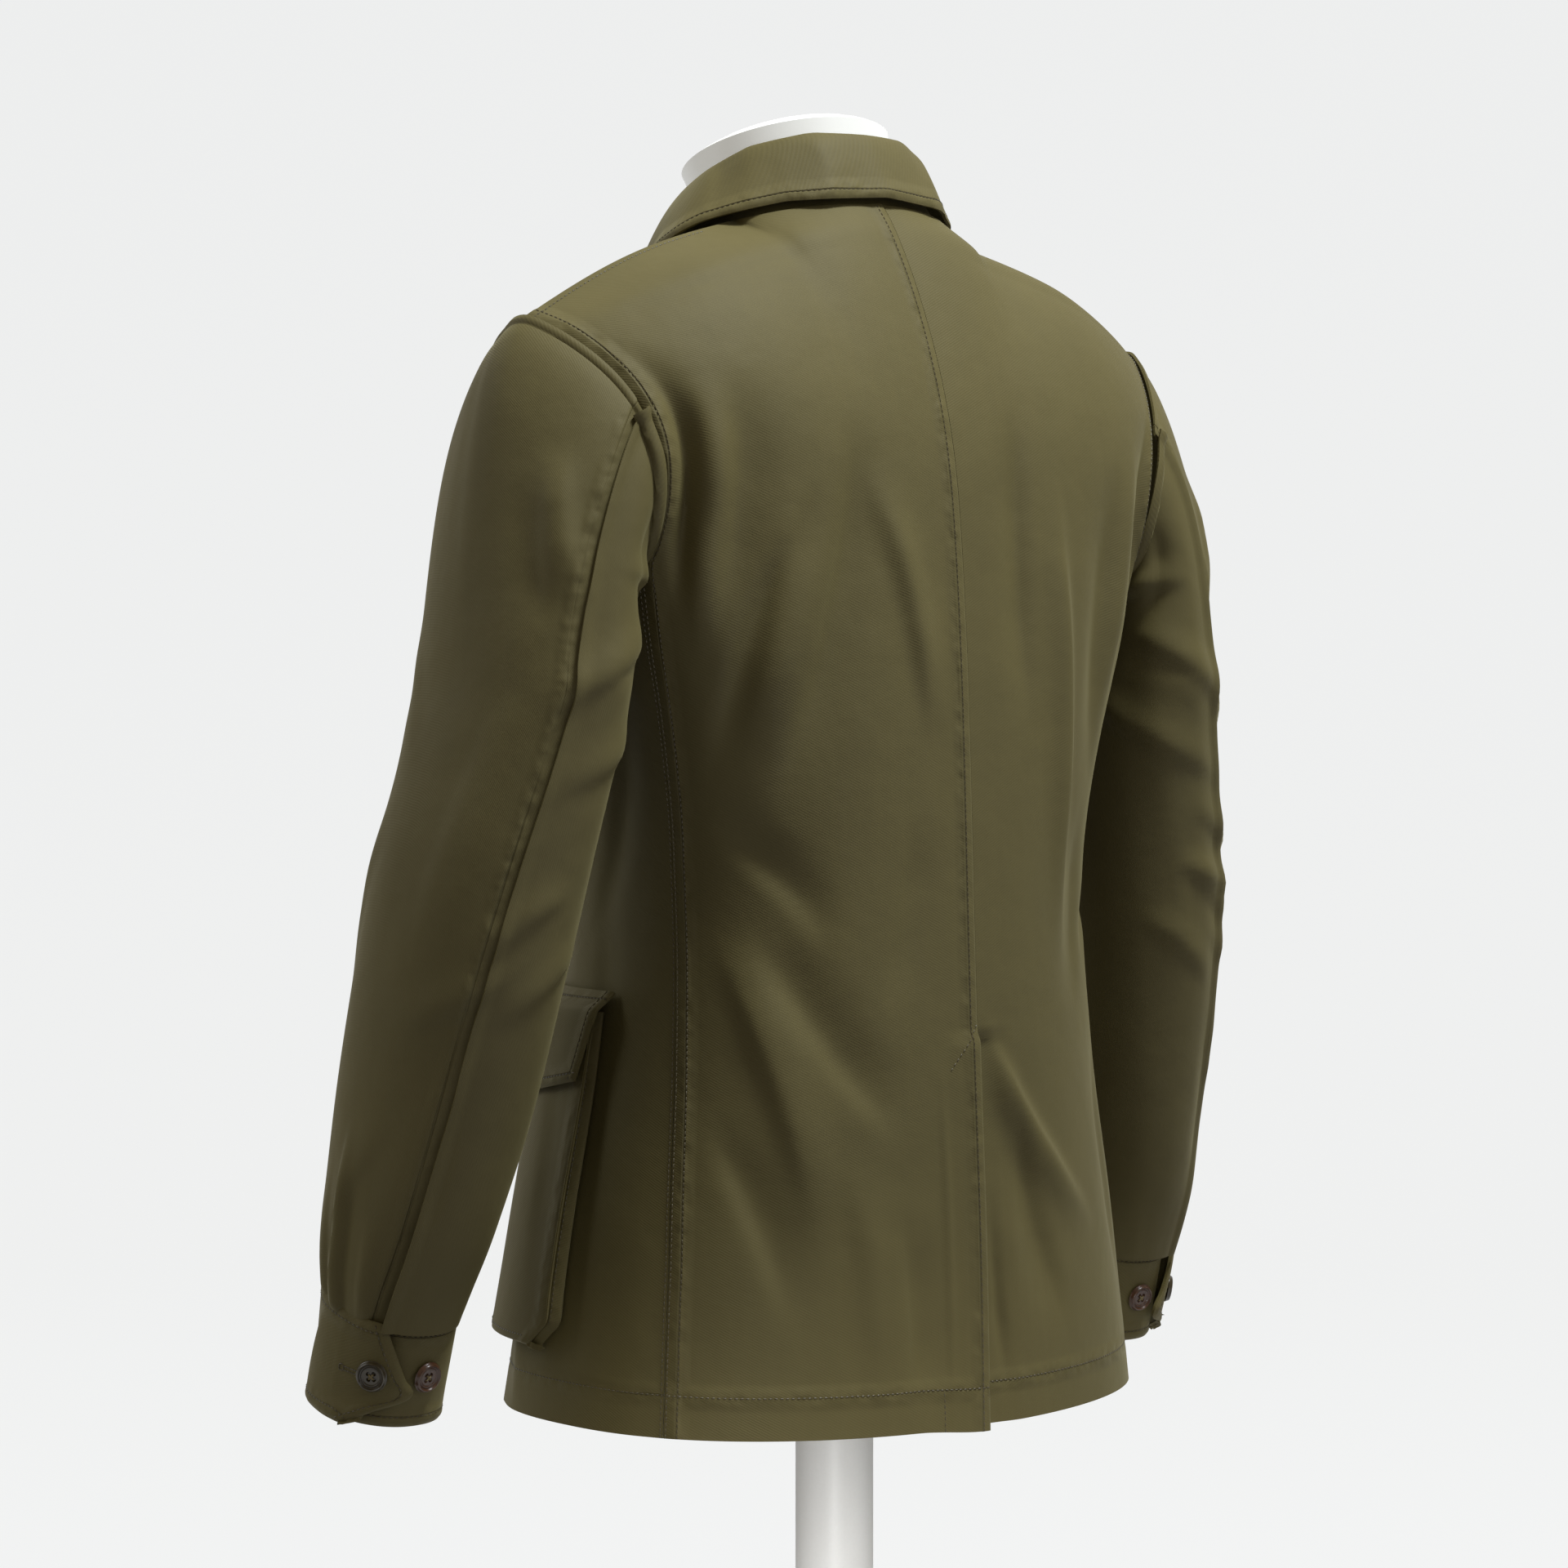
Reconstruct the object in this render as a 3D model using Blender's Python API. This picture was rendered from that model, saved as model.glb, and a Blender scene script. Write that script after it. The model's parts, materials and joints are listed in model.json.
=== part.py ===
"""A field jacket in cotton twill on a limbless dress form, with its pole and round base.

Metres, +Z up. The wearer's left is +X and the front faces -Y. The origin is the centre of the
base's underside, on the pole's axis. Heights in the tables are measured from the jacket's hem.
"""

import math
from collections import namedtuple

import bpy
import numpy as np

HEM = 0.240            # the hem's height above the floor
TWILL = 0.0016         # one layer of cloth
CUFF_CLOTH = 0.0022    # a cuff or collar, sewn double
SEAM_GAP = 0.0006      # between two pieces at a seam
LAP = 0.0028           # how far an upper layer stands off the layer below it

CHEST = 0.475          # where the side seam meets the armhole
UNDERARM = 0.447       # the armhole's lowest point
SHOULDER_X = 0.228     # shoulder point, from the centre line
SHOULDER_Y = 0.006
SHOULDER_H = 0.607
SHOULDER_CROWN = 0.0075  # how far the shoulder seam bows up between neck and shoulder
NECK_SHARE = 0.42      # the part of a panel's width that lies under the neckline
NECK_X = 0.078         # side neck point
NECK_Y = 0.000
NECK_H = 0.668
NECK_BACK_Y, NECK_BACK_H = 0.041, 0.679
NECK_FRONT_Y, NECK_FRONT_H = -0.118, 0.612
HEM_DIP = 0.004        # the back hem below the side
VENT_TOP = 0.215       # the centre-back vent's top
UNDERLAP = 0.036       # the vent's underlap, past the centre line
FRONT_LAP = 0.016      # each front's extension, past the centre line

Section = namedtuple("Section", "height half_width back front widest_y squareness")
BODY = [
    Section(-0.02, 0.195, 0.1295, -0.160, -0.010, 2.4),
    Section(0.00, 0.192, 0.1290, -0.155, -0.010, 2.4),
    Section(0.10, 0.177, 0.1260, -0.142, -0.010, 2.4),
    Section(0.20, 0.158, 0.1210, -0.136, -0.009, 2.45),
    Section(0.30, 0.150, 0.1170, -0.126, -0.007, 2.5),
    Section(0.38, 0.163, 0.1140, -0.130, -0.007, 2.8),
    Section(0.44, 0.182, 0.1115, -0.136, -0.008, 3.2),
    Section(0.51, 0.204, 0.1060, -0.136, -0.008, 3.3),
    Section(0.57, 0.228, 0.1020, -0.130, -0.006, 3.3),
    Section(0.64, 0.245, 0.0980, -0.120, -0.005, 3.3),
    Section(0.72, 0.250, 0.0960, -0.110, -0.005, 3.3),
]

Ring = namedtuple("Ring", "height x y outer inner half_depth tilt hind_seam")
SLEEVE = [
    Ring(0.430, 0.2150, 0.005, 0.052, 0.026, 0.075, 0.00, 73),
    Ring(0.370, 0.2300, 0.000, 0.053, 0.037, 0.070, 0.00, 72),
    Ring(0.310, 0.2450, -0.007, 0.053, 0.044, 0.066, -0.05, 69),
    Ring(0.246, 0.2558, -0.017, 0.050, 0.046, 0.062, -0.10, 65),
    Ring(0.185, 0.2612, -0.031, 0.047, 0.045, 0.058, -0.16, 61),
    Ring(0.124, 0.2663, -0.044, 0.044, 0.037, 0.051, -0.22, 55),
    Ring(0.094, 0.2700, -0.051, 0.041, 0.034, 0.045, -0.27, 51),
    Ring(0.0725, 0.2735, -0.056, 0.034, 0.032, 0.0390, -0.31, 48),
]
Shift = namedtuple("Shift", "height out back up")
RIGHT_ARM = [
    Shift(0.00, 0.003, 0.003, -0.009),
    Shift(0.085, 0.001, 0.002, -0.009),
    Shift(0.12, 0.000, 0.001, -0.008),
    Shift(0.20, -0.002, -0.002, -0.004),
    Shift(0.30, -0.004, -0.005, 0.000),
    Shift(0.37, -0.002, -0.005, 0.000),
    Shift(0.43, 0.000, -0.004, 0.000),
    Shift(0.50, 0.000, 0.000, 0.000),
]
CAP_RING = 0.405       # the first level ring below the sleeve head
HIND_SEAM_START = 65   # degrees round the armhole, from the shoulder to the back
FRONT_SEAM = 285
SEAM_ANGLE = 0.45       # half a seam gap round the sleeve, in degrees
CUFF_TOP, CUFF_BOTTOM = 0.0725, 0.0115
CUFF_BOTTOM_X, CUFF_BOTTOM_Y, CUFF_BOTTOM_TILT = 0.2740, -0.072, -0.18
CUFF_OUTER, CUFF_HALF_DEPTH = 0.0335, 0.0385

POCKET_TOP, POCKET_BOTTOM = 0.226, 0.040
POCKET_EDGE, POCKET_WIDTH = 0.009, 0.152   # from the side line, towards the front
BELLOWS_TOP, BELLOWS_BOTTOM = 0.006, 0.010
FLAP_TOP, FLAP_SIDE, FLAP_POINT = 0.237, 0.052, 0.067

BUTTON_RADIUS, BUTTON_THICK = 0.0088, 0.0032
FRONT_BUTTONS = (0.565, 0.465, 0.365, 0.265, 0.165)

POLE_RADIUS = 0.0225
BASE_RADIUS, BASE_THICK = 0.150, 0.012
FORM_BOTTOM = 0.060
FORM = [
    Section(0.060, 0.150, 0.094, -0.114, -0.010, 2.3),
    Section(0.090, 0.158, 0.104, -0.122, -0.010, 2.3),
    Section(0.180, 0.143, 0.101, -0.114, -0.010, 2.3),
    Section(0.300, 0.127, 0.094, -0.100, -0.008, 2.3),
    Section(0.380, 0.139, 0.092, -0.104, -0.008, 2.4),
    Section(0.440, 0.156, 0.090, -0.110, -0.008, 2.5),
    Section(0.510, 0.163, 0.083, -0.104, -0.010, 2.5),
    Section(0.556, 0.156, 0.070, -0.088, -0.010, 2.4),
    Section(0.584, 0.132, 0.055, -0.074, -0.012, 2.2),
    Section(0.606, 0.098, 0.043, -0.066, -0.014, 2.1),
    Section(0.626, 0.073, 0.034, -0.068, -0.020, 2.0),
    Section(0.648, 0.062, 0.026, -0.084, -0.029, 2.0),
    Section(0.690, 0.059, 0.018, -0.095, -0.038, 2.0),
    Section(0.714, 0.060, 0.016, -0.104, -0.044, 2.0),
]
NECK_CAP_SLOPE, NECK_CAP_RISE = 0.28, 0.012

OLIVE = (0.125, 0.110, 0.052)
HORN = (0.030, 0.019, 0.011)
LACQUER = (0.83, 0.83, 0.81)
STEEL = (0.62, 0.62, 0.61)


# Reading the tables ---------------------------------------------------------------------------

def read(table, height):
    """A row of the table at any height, on a smooth curve through its rows."""
    rows = sorted(table)
    heights = [row.height for row in rows]
    i = min(max(int(np.searchsorted(heights, height)) - 1, 0), len(rows) - 2)
    before, low, high, after = (rows[min(max(k, 0), len(rows) - 1)] for k in (i - 1, i, i + 1, i + 2))
    step = high.height - low.height
    t = min(max((height - low.height) / step, 0.0), 1.0)
    values = [height]
    for column in range(1, len(low)):
        start = (high[column] - before[column]) / max(high.height - before.height, 1e-9) * step
        end = (after[column] - low[column]) / max(after.height - low.height, 1e-9) * step
        values.append((2 * t**3 - 3 * t**2 + 1) * low[column] + (t**3 - 2 * t**2 + t) * start
                      + (3 * t**2 - 2 * t**3) * high[column] + (t**3 - t**2) * end)
    return type(low)(*values)


def radius(angle, across, along, squareness):
    """How far a rounded oval reaches at this angle, in radians from its depth axis."""
    reach = abs(math.sin(angle) / across) ** squareness + abs(math.cos(angle) / along) ** squareness
    return reach ** (-1 / squareness)


def round_body(angle, height, table=BODY):
    """A point of the body's outside: 0 degrees is the centre back, 90 the side, 180 the front."""
    row = read(table, height)
    turn = math.radians(angle)
    depth = row.back - row.widest_y if math.cos(turn) > 0 else row.widest_y - row.front
    reach = radius(turn, row.half_width, depth, row.squareness)
    return np.array((reach * math.sin(turn), row.widest_y + reach * math.cos(turn), height))


# Body panels ----------------------------------------------------------------------------------

def side_seam(height):
    """The angle of the seam that joins back and front, behind the side."""
    return float(np.interp(height, (0.0, 0.10, 0.20, 0.30, 0.38, CHEST), (68.5, 69.5, 72.0, 75.0, 74.0, 72.0)))


def neck_line(angle):
    """The collar seam: 0 degrees is the centre back, 90 the side neck point, 180 the front."""
    turn = math.radians(angle)
    x = NECK_X * math.sin(turn)
    if angle <= 90:
        rise = math.cos(turn) ** 1.5
        return np.array((x, NECK_Y + (NECK_BACK_Y - NECK_Y) * math.cos(turn),
                         NECK_H + (NECK_BACK_H - NECK_H) * rise))
    fall = (1 - math.sin(turn)) ** 0.8
    return np.array((x, NECK_Y - (NECK_Y - NECK_FRONT_Y) * -math.cos(turn),
                     NECK_H - (NECK_H - NECK_FRONT_H) * fall))


def shoulder_seam(part):
    """The shoulder seam, from the side neck point (0) to the shoulder point (1)."""
    crown = SHOULDER_CROWN * math.sin(math.pi * part)
    return np.array((NECK_X + (SHOULDER_X - NECK_X) * part, NECK_Y + (SHOULDER_Y - NECK_Y) * part,
                     NECK_H + (SHOULDER_H - NECK_H) * part + crown))


def yoke(x, height, top, front):
    """The body's depth above the chest, rounding over to its top edge point."""
    row = read(BODY, height)
    depth = row.widest_y - row.front if front else row.back - row.widest_y
    flat = depth * max(1 - (min(abs(x) / row.half_width, 1.0)) ** row.squareness, 0) ** (1 / row.squareness)
    full = row.widest_y - flat if front else row.widest_y + flat
    out = min(abs(x) / SHOULDER_X, 1.0)
    reach = 0.20 - 0.10 * out
    power = np.interp(out, (0, 0.35, 0.6, 1), (0.92, 0.60, 0.56, 0.68) if front else (0.92, 0.52, 0.48, 0.66))
    t = min(max((top[2] - height) / reach, 0.0), 1.0)
    return top[1] + (full - top[1]) * (1 - (1 - t) ** 2.3) ** power


def top_edge(part, front):
    """A panel's top edge, from the centre line (0) by the side neck point to the shoulder (1)."""
    if part <= NECK_SHARE:
        angle = 90 * part / NECK_SHARE
        return neck_line(180 - angle if front else angle)
    return shoulder_seam((part - NECK_SHARE) / (1 - NECK_SHARE))


def yoke_point(part, rise, front, edge_angle, level):
    """A point above the chest line, straight from its top edge and its chest line."""
    start = 180 if front else 0
    low = round_body(start + (edge_angle - start) * part, level)
    top = top_edge(part, front)
    lean = rise ** (3.2 if part > 0.55 else 1.2 + 2.0 * part / 0.55)
    x = low[0] + (top[0] - low[0]) * lean
    height = low[2] + (top[2] - low[2]) * rise
    y = yoke(x, height, top, front)
    settle = min(rise / 0.35, 1.0)
    flat = yoke(low[0], low[2], top, front)
    return np.array((x, y + (low[1] - flat) * (1 - settle) ** 2, height))


def upper_point(part, rise, front, edge_angle, level):
    """The same, evened across its neighbours so that the neckline's corner leaves no ridge below."""
    spread = min(part, 1 - part, 0.16) * (1 - rise) ** 0.4
    near = ((-1, 1), (-0.5, 2), (0, 3), (0.5, 2), (1, 1))
    return sum(weight * yoke_point(part + spread * way, rise, front, edge_angle, level)
               for way, weight in near) / 9


FRONT_EDGE = 112       # the angle where the front armhole's edge meets the chest line


def armhole_floor(part):
    """The armhole's underside, from the side seam (0) to the front edge (1)."""
    dip = (CHEST - UNDERARM) * math.sin(math.pi * part) ** 0.8
    angle = side_seam(CHEST) + (FRONT_EDGE - side_seam(CHEST)) * part
    return round_body(angle, CHEST - dip)


def armhole(steps=16):
    """The armhole as two runs of points, both from the shoulder down to the underarm."""
    back = [upper_point(1, 1 - k / steps, False, side_seam(CHEST), CHEST) for k in range(steps)]
    back += [armhole_floor(0.5 * k / steps) for k in range(steps + 1)]
    front = [upper_point(1, 1 - k / steps, True, FRONT_EDGE, CHEST) for k in range(steps)]
    front += [armhole_floor(1 - 0.5 * k / steps) for k in range(steps + 1)]
    return np.array(back), np.array(front)


def along(points, part):
    """The point at this share of a run's length."""
    steps = np.linalg.norm(np.diff(points, axis=0), axis=1)
    length = np.concatenate(([0], np.cumsum(steps))) / steps.sum()
    return np.array([np.interp(part, length, points[:, k]) for k in range(3)])


LOWER_ROWS = (0, 0.045, 0.10, 0.155, VENT_TOP - 0.012, VENT_TOP, 0.27, 0.325, 0.38, 0.43, CHEST)
UPPER_ROWS = (0.14, 0.30, 0.46, 0.62, 0.76, 0.88, 1.0)
VENT_ROWS = 5          # rows from the hem up to just below the vent's top


def hem_dip(angle, height):
    """The back hangs a little lower than the sides, at the hem only."""
    low = max(math.cos(math.radians(angle)), 0) ** 2
    return height - HEM_DIP * low * max(1 - height / 0.10, 0)


def back_panel(side):
    """One back, from the centre line to the side seam and armhole. The right has the underlap."""
    columns = np.concatenate((np.linspace(0, NECK_SHARE, 6), np.linspace(NECK_SHARE, 1, 8)[1:]))
    gap = math.degrees(SEAM_GAP / 2 / 0.17)
    points = []
    for height in LOWER_ROWS:
        angles = side_seam(height) * columns + gap * (1 - 2 * columns)
        points.append([round_body(a, hem_dip(a, height)) for a in angles])
    for rise in UPPER_ROWS:
        row = [upper_point(c, rise, False, side_seam(CHEST), CHEST) for c in columns]
        if rise == 1:
            row = [p + (0, SEAM_GAP / 2, 0) for p in row]
        row[0][0] += SEAM_GAP / 2
        row[-1][0] -= SEAM_GAP / 2
        points.append(row)
    points = np.array(points)
    skip = set()
    if side < 0:
        reach = math.degrees(UNDERLAP / 0.128)
        extra = points[:, :1].repeat(3, axis=1)
        for r in range(VENT_ROWS):
            for c, share in enumerate((1, 0.66, 0.33)):
                angle = -reach * share
                extra[r, c] = round_body(angle, hem_dip(angle, LOWER_ROWS[r])) - (0, LAP, 0)
        points[:VENT_ROWS, 0, 1] -= LAP
        points[:VENT_ROWS, 1, 1] -= LAP / 3
        points = np.concatenate((extra, points), axis=1)
        skip = {(r, c) for r in range(VENT_ROWS - 1, len(points) - 1) for c in range(3)}
    return points * (side, 1, 1), skip


def front_panel(side):
    """One front, from the side seam round to the lap at the centre front. The left laps over."""
    under = np.linspace(0, 1, 6)
    chest = np.concatenate((np.linspace(1, NECK_SHARE, 7), np.linspace(NECK_SHARE, 0, 6)[1:]))
    gap = math.degrees(SEAM_GAP / 2 / 0.17)
    points = []
    for height in LOWER_ROWS:
        seam = side_seam(height) + gap
        edge = np.interp(height, (0, CHEST), (116, FRONT_EDGE))
        row = []
        for c in under[:-1]:
            angle = seam + (edge - seam) * c
            row.append(round_body(angle, hem_dip(angle, armhole_floor(c)[2] * height / CHEST)))
        row += [round_body(180 + (edge - 180) * c, height) for c in chest]
        points.append(row)
    for rise in UPPER_ROWS:
        row = [upper_point(c, rise, True, FRONT_EDGE, CHEST) for c in chest]
        if rise == 1:
            row = [p - (0, SEAM_GAP / 2, 0) for p in row]
        row[0][0] -= SEAM_GAP / 2
        points.append([row[0]] * (len(under) - 1) + row)
    points = np.array(points)
    lap = points[:, -1:] + (-FRONT_LAP, 0.0015 if side < 0 else 0, 0)
    points = np.concatenate((points, lap), axis=1)
    if side > 0:
        points[:, -4:, 1] -= np.array((0.5, 1, 1, 1)) * LAP
    skip = {(r, c) for r in range(len(LOWER_ROWS) - 1, len(points) - 1) for c in range(len(under) - 1)}
    return points * (side, 1, 1), skip


# Sleeves and cuffs ----------------------------------------------------------------------------

def ring_point(row, angle):
    """A point of a sleeve ring: 0 degrees faces out, 90 to the back, 180 to the body."""
    turn = math.radians(angle)
    across = row.outer if math.cos(turn) > 0 else row.inner
    reach = radius(turn, row.half_depth, across, 2.15)
    dx, dy = reach * math.cos(turn), reach * math.sin(turn)
    return np.array((row.x + dx, row.y + dy, row.height + row.tilt * dy))


def head_point(angle, t):
    """The sleeve head: from the armhole (t = 0) over to the first level ring (t = 1)."""
    back, front = armhole()
    turn = angle % 360
    start = along(back, turn / 180) if turn <= 180 else along(front, (360 - turn) / 180)
    end = ring_point(read(SLEEVE, CAP_RING), angle)
    lean = math.cos(math.radians(turn))
    leave = np.array((0.80, 0, -0.50 - 0.3 * (1 - lean) / 2))
    leave[1] = 0.35 * math.sin(math.radians(turn))
    reach = np.linalg.norm(end - start)
    start = start + np.array((SEAM_GAP * 3, 0, 0))
    first = start + leave * reach * (0.12 + 0.04 * (1 + lean))
    second = end + np.array((-0.16, 0, 1)) * reach * (0.32 + 0.04 * lean)
    return ((1 - t)**3 * start + 3 * (1 - t)**2 * t * first + 3 * (1 - t) * t**2 * second + t**3 * end)


def sleeve_piece(side, top):
    """The top sleeve or the under sleeve, from the armhole to the cuff."""
    rows = [(True, t) for t in (0, 0.12, 0.26, 0.42, 0.60, 0.80)]
    rows += [(False, h) for h in (CAP_RING, 0.36, 0.31, 0.26, 0.21, 0.165, 0.124, 0.096, 0.0734)]
    points = []
    for in_head, place in rows:
        row = read(SLEEVE, CAP_RING if in_head else place)
        hind = row.hind_seam
        if in_head:
            hind = HIND_SEAM_START + (hind - HIND_SEAM_START) * place
        ends = (FRONT_SEAM - 360, hind) if top else (hind, FRONT_SEAM)
        low, high = ends[0] + SEAM_ANGLE, ends[1] - SEAM_ANGLE
        angles = np.linspace(low, high, 14 if top else 9)
        points.append([head_point(a, place) if in_head else ring_point(row, a) for a in angles])
    return hang(points, side), set()


def hang(points, side):
    """Mirrors an arm's points for the right, which hangs a little nearer the body and lower."""
    points = np.array(points)
    if side < 0:
        level = points[..., 2].copy()
        heights = [row.height for row in RIGHT_ARM]
        for axis in range(3):
            points[..., axis] += np.interp(level, heights, [row[axis + 1] for row in RIGHT_ARM])
    return points * (side, 1, 1)


def cuff_point(angle, drop, lift):
    """A point of the cuff's outside, drop running from its top (0) to its bottom (1)."""
    top = SLEEVE[-1]
    row = top._replace(
        height=CUFF_TOP + (CUFF_BOTTOM - CUFF_TOP) * drop,
        x=top.x + (CUFF_BOTTOM_X - top.x) * drop, y=top.y + (CUFF_BOTTOM_Y - top.y) * drop,
        tilt=top.tilt + (CUFF_BOTTOM_TILT - top.tilt) * drop, outer=CUFF_OUTER + lift, inner=CUFF_OUTER + lift, half_depth=CUFF_HALF_DEPTH + lift)
    return ring_point(row, angle)


TAB_TOP, TAB_TIP, TAB_FOOT = 50, 78, 24     # where the tab's end lies round the cuff, in degrees
TIP_DROP = 0.66                              # how far down the cuff the tab's point is
TAB_ROOT = 14                                # past here the cuff is a plain band
UNDERLAP_END = -346                          # the cuff's hidden end, under the tab


def cuff(side):
    """One band round the wrist, its pointed tab lapped over its other end."""
    points = []
    for drop in (0, 0.33, TIP_DROP, 1):
        end = np.interp(drop, (0, TIP_DROP, 1), (TAB_TOP, TAB_TIP, TAB_FOOT))
        angles = [end, (end + TAB_ROOT) / 2] + list(np.linspace(TAB_ROOT, UNDERLAP_END, 25))
        lifts = np.interp(angles, (UNDERLAP_END, -265, -190), (-LAP * 1.15, -LAP * 1.15, 0)) + 0.0008
        points.append([cuff_point(angle, drop, lift) for angle, lift in zip(angles, lifts)])
    return hang(points, side), set()


# Collar ---------------------------------------------------------------------------------------

def fold_line(angle):
    """The collar's roll, above the collar seam."""
    turn = math.radians(angle)
    depth = 0.060 if angle <= 90 else 0.084
    height = np.interp(angle, (0, 30, 60, 90, 130, 180), (0.7200, 0.7195, 0.7120, 0.6980, 0.672, 0.646))
    return np.array((0.067 * math.sin(turn), -0.036 + depth * math.cos(turn), height))


def collar_edge(angle):
    """The fall's outer edge, lying on the shoulders and then on the chest."""
    turn = math.radians(angle)
    wide = np.interp(angle, (0, 50, 90, 140, 165), (0.080, 0.088, 0.106, 0.104, 0.100))
    y = np.interp(angle, (0, 30, 60, 90, 120, 145, 165), (0.050, 0.043, 0.016, -0.022, -0.078, -0.122, -0.146))
    height = np.interp(angle, (0, 45, 75, 100, 130, 165), (0.6830, 0.6785, 0.6695, 0.6600, 0.6335, 0.594))
    return np.array((wide * math.sin(turn) ** 0.9 + (0.018 if angle > 140 else 0) * (angle - 140) / 25, y, height))


def outward(angle):
    turn = math.radians(angle)
    return np.array((math.sin(turn), math.cos(turn), 0))


def collar_piece(fall):
    """The stand or the fall, in one strip from the left front round the back to the right."""
    last = 165 if fall else 171
    angles = np.linspace(-last, last, 31)
    points = []
    shares = (0, 0.15, 0.35, 0.65, 1.0) if fall else (0, 0.5, 1.0)
    for share in shares:
        line = []
        for signed in angles:
            angle = abs(signed)
            fold, way = fold_line(angle), outward(angle)
            if fall:
                edge = collar_edge(angle)
                start = fold + way * 0.0006 - (0, 0, 0.0005)
                crest = fold + way * 0.0055 + (0, 0, 0.0040)
                point = (1 - share)**2 * start + 2 * (1 - share) * share * crest + share**2 * edge
            else:
                seam = neck_line(min(angle, 180)) + (0, 0, 0.0012)
                top = fold - (0, 0, 0.0045) - way * 0.0028
                point = seam + (top - seam) * share
            line.append(point * (math.copysign(1, signed), 1, 1))
        points.append(line)
    return np.array(points), set()


# Pockets and flaps ----------------------------------------------------------------------------

def on_front(distance, height, lift):
    """A point a given way forward of the side line, moved out from the front panel."""
    angles = np.linspace(60, 180, 241)
    ring = np.array([round_body(a, height) for a in angles])
    steps = np.concatenate(([0], np.cumsum(np.linalg.norm(np.diff(ring, axis=0), axis=1))))
    steps -= np.interp(90, angles, steps)
    angle = float(np.interp(distance, steps, angles))
    here = round_body(angle, height)
    along_ring = round_body(angle + 0.5, height) - round_body(angle - 0.5, height)
    along_rise = round_body(angle, height + 0.003) - round_body(angle, height - 0.003)
    normal = np.cross(along_rise, along_ring)
    normal /= np.linalg.norm(normal)
    return here + normal * lift * (1 if normal @ (here * (1, 1, 0)) > 0 else -1)


def bellows(height):
    """How far the pocket's face stands off the front."""
    t = (POCKET_TOP - height) / (POCKET_TOP - POCKET_BOTTOM)
    return BELLOWS_TOP + (BELLOWS_BOTTOM - BELLOWS_TOP) * min(max(t, 0), 1) ** 0.8


def pocket(side):
    """The bellows pocket: a face with an inverted pleat, on gussets that reach the front."""
    foot = TWILL + 0.0004
    across = [(-0.004, 0), (0.0, 0.5), (0.006, 1), (0.14, 1), (0.29, 1), (0.435, 1), (0.455, 0.55),
              (0.545, 0.55), (0.565, 1), (0.71, 1), (0.86, 1), (0.994, 1), (1.0, 0.5), (1.004, 0)]
    corner = 0.014
    down = [(POCKET_TOP - 0.001, 0.85), (0.205, 1), (0.16, 1), (0.115, 1), (POCKET_BOTTOM + corner, 1),
            (POCKET_BOTTOM, 1), (POCKET_BOTTOM - 0.001, 0.5), (POCKET_BOTTOM - 0.002, 0)]
    points = []
    for height, rise in down:
        inset = corner / POCKET_WIDTH if height < POCKET_BOTTOM + corner / 2 else 0
        row = []
        for share, stand in across:
            place = POCKET_EDGE + POCKET_WIDTH * (inset + (1 - 2 * inset) * share)
            row.append(on_front(place, height, foot + bellows(height) * min(rise, stand)))
        points.append(row)
    return np.array(points) * (side, 1, 1), set()


def flap(side):
    """The pocket flap, sewn along its top and pointed at its foot."""
    shares = [0, 0.12, 0.30, 0.5, 0.70, 0.88, 1]
    points = []
    for drop in (0, 0.10, 0.22, 0.45, 0.72, 1.0):
        row = []
        for share in shares:
            depth = FLAP_SIDE + (FLAP_POINT - FLAP_SIDE) * (1 - abs(2 * share - 1))
            height = FLAP_TOP - depth * drop
            stand = min(drop / 0.22, 1.0)
            lift = TWILL + 0.0006 + stand * (bellows(height) + 0.0044)
            row.append(on_front(POCKET_EDGE - 0.004 + (POCKET_WIDTH + 0.008) * share, height, lift))
        points.append(row)
    return np.array(points) * (side, 1, 1), set()


# Making the objects ---------------------------------------------------------------------------

def clear_scene():
    for obj in list(bpy.data.objects):
        bpy.data.objects.remove(obj, do_unlink=True)


def material(name, colour, roughness, metallic=0.0):
    made = bpy.data.materials.new(name)
    made.use_nodes = True
    shader = made.node_tree.nodes["Principled BSDF"]
    shader.inputs["Base Color"].default_value = (*colour, 1)
    shader.inputs["Roughness"].default_value = roughness
    shader.inputs["Metallic"].default_value = metallic
    return made


def add_object(name, corners, faces, look):
    mesh = bpy.data.meshes.new(name)
    mesh.from_pydata([tuple(map(float, c)) for c in corners], [], faces)
    mesh.update()
    obj = bpy.data.objects.new(name, mesh)
    obj.location.z = HEM
    obj.data.materials.append(material(name, *look))
    bpy.context.scene.collection.objects.link(obj)
    return obj


def outward_ways(grid, faces):
    """Each point's way out of the cloth, from the faces round it."""
    flat = grid.reshape(-1, 3)
    ways = np.zeros_like(flat)
    for face in faces:
        a, b, c, d = (flat[k] for k in face)
        across = np.cross(c - a, d - b)
        for k in face:
            ways[k] += across
    lengths = np.linalg.norm(ways, axis=1)
    return ways / np.maximum(lengths, 1e-12)[:, None]


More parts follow.
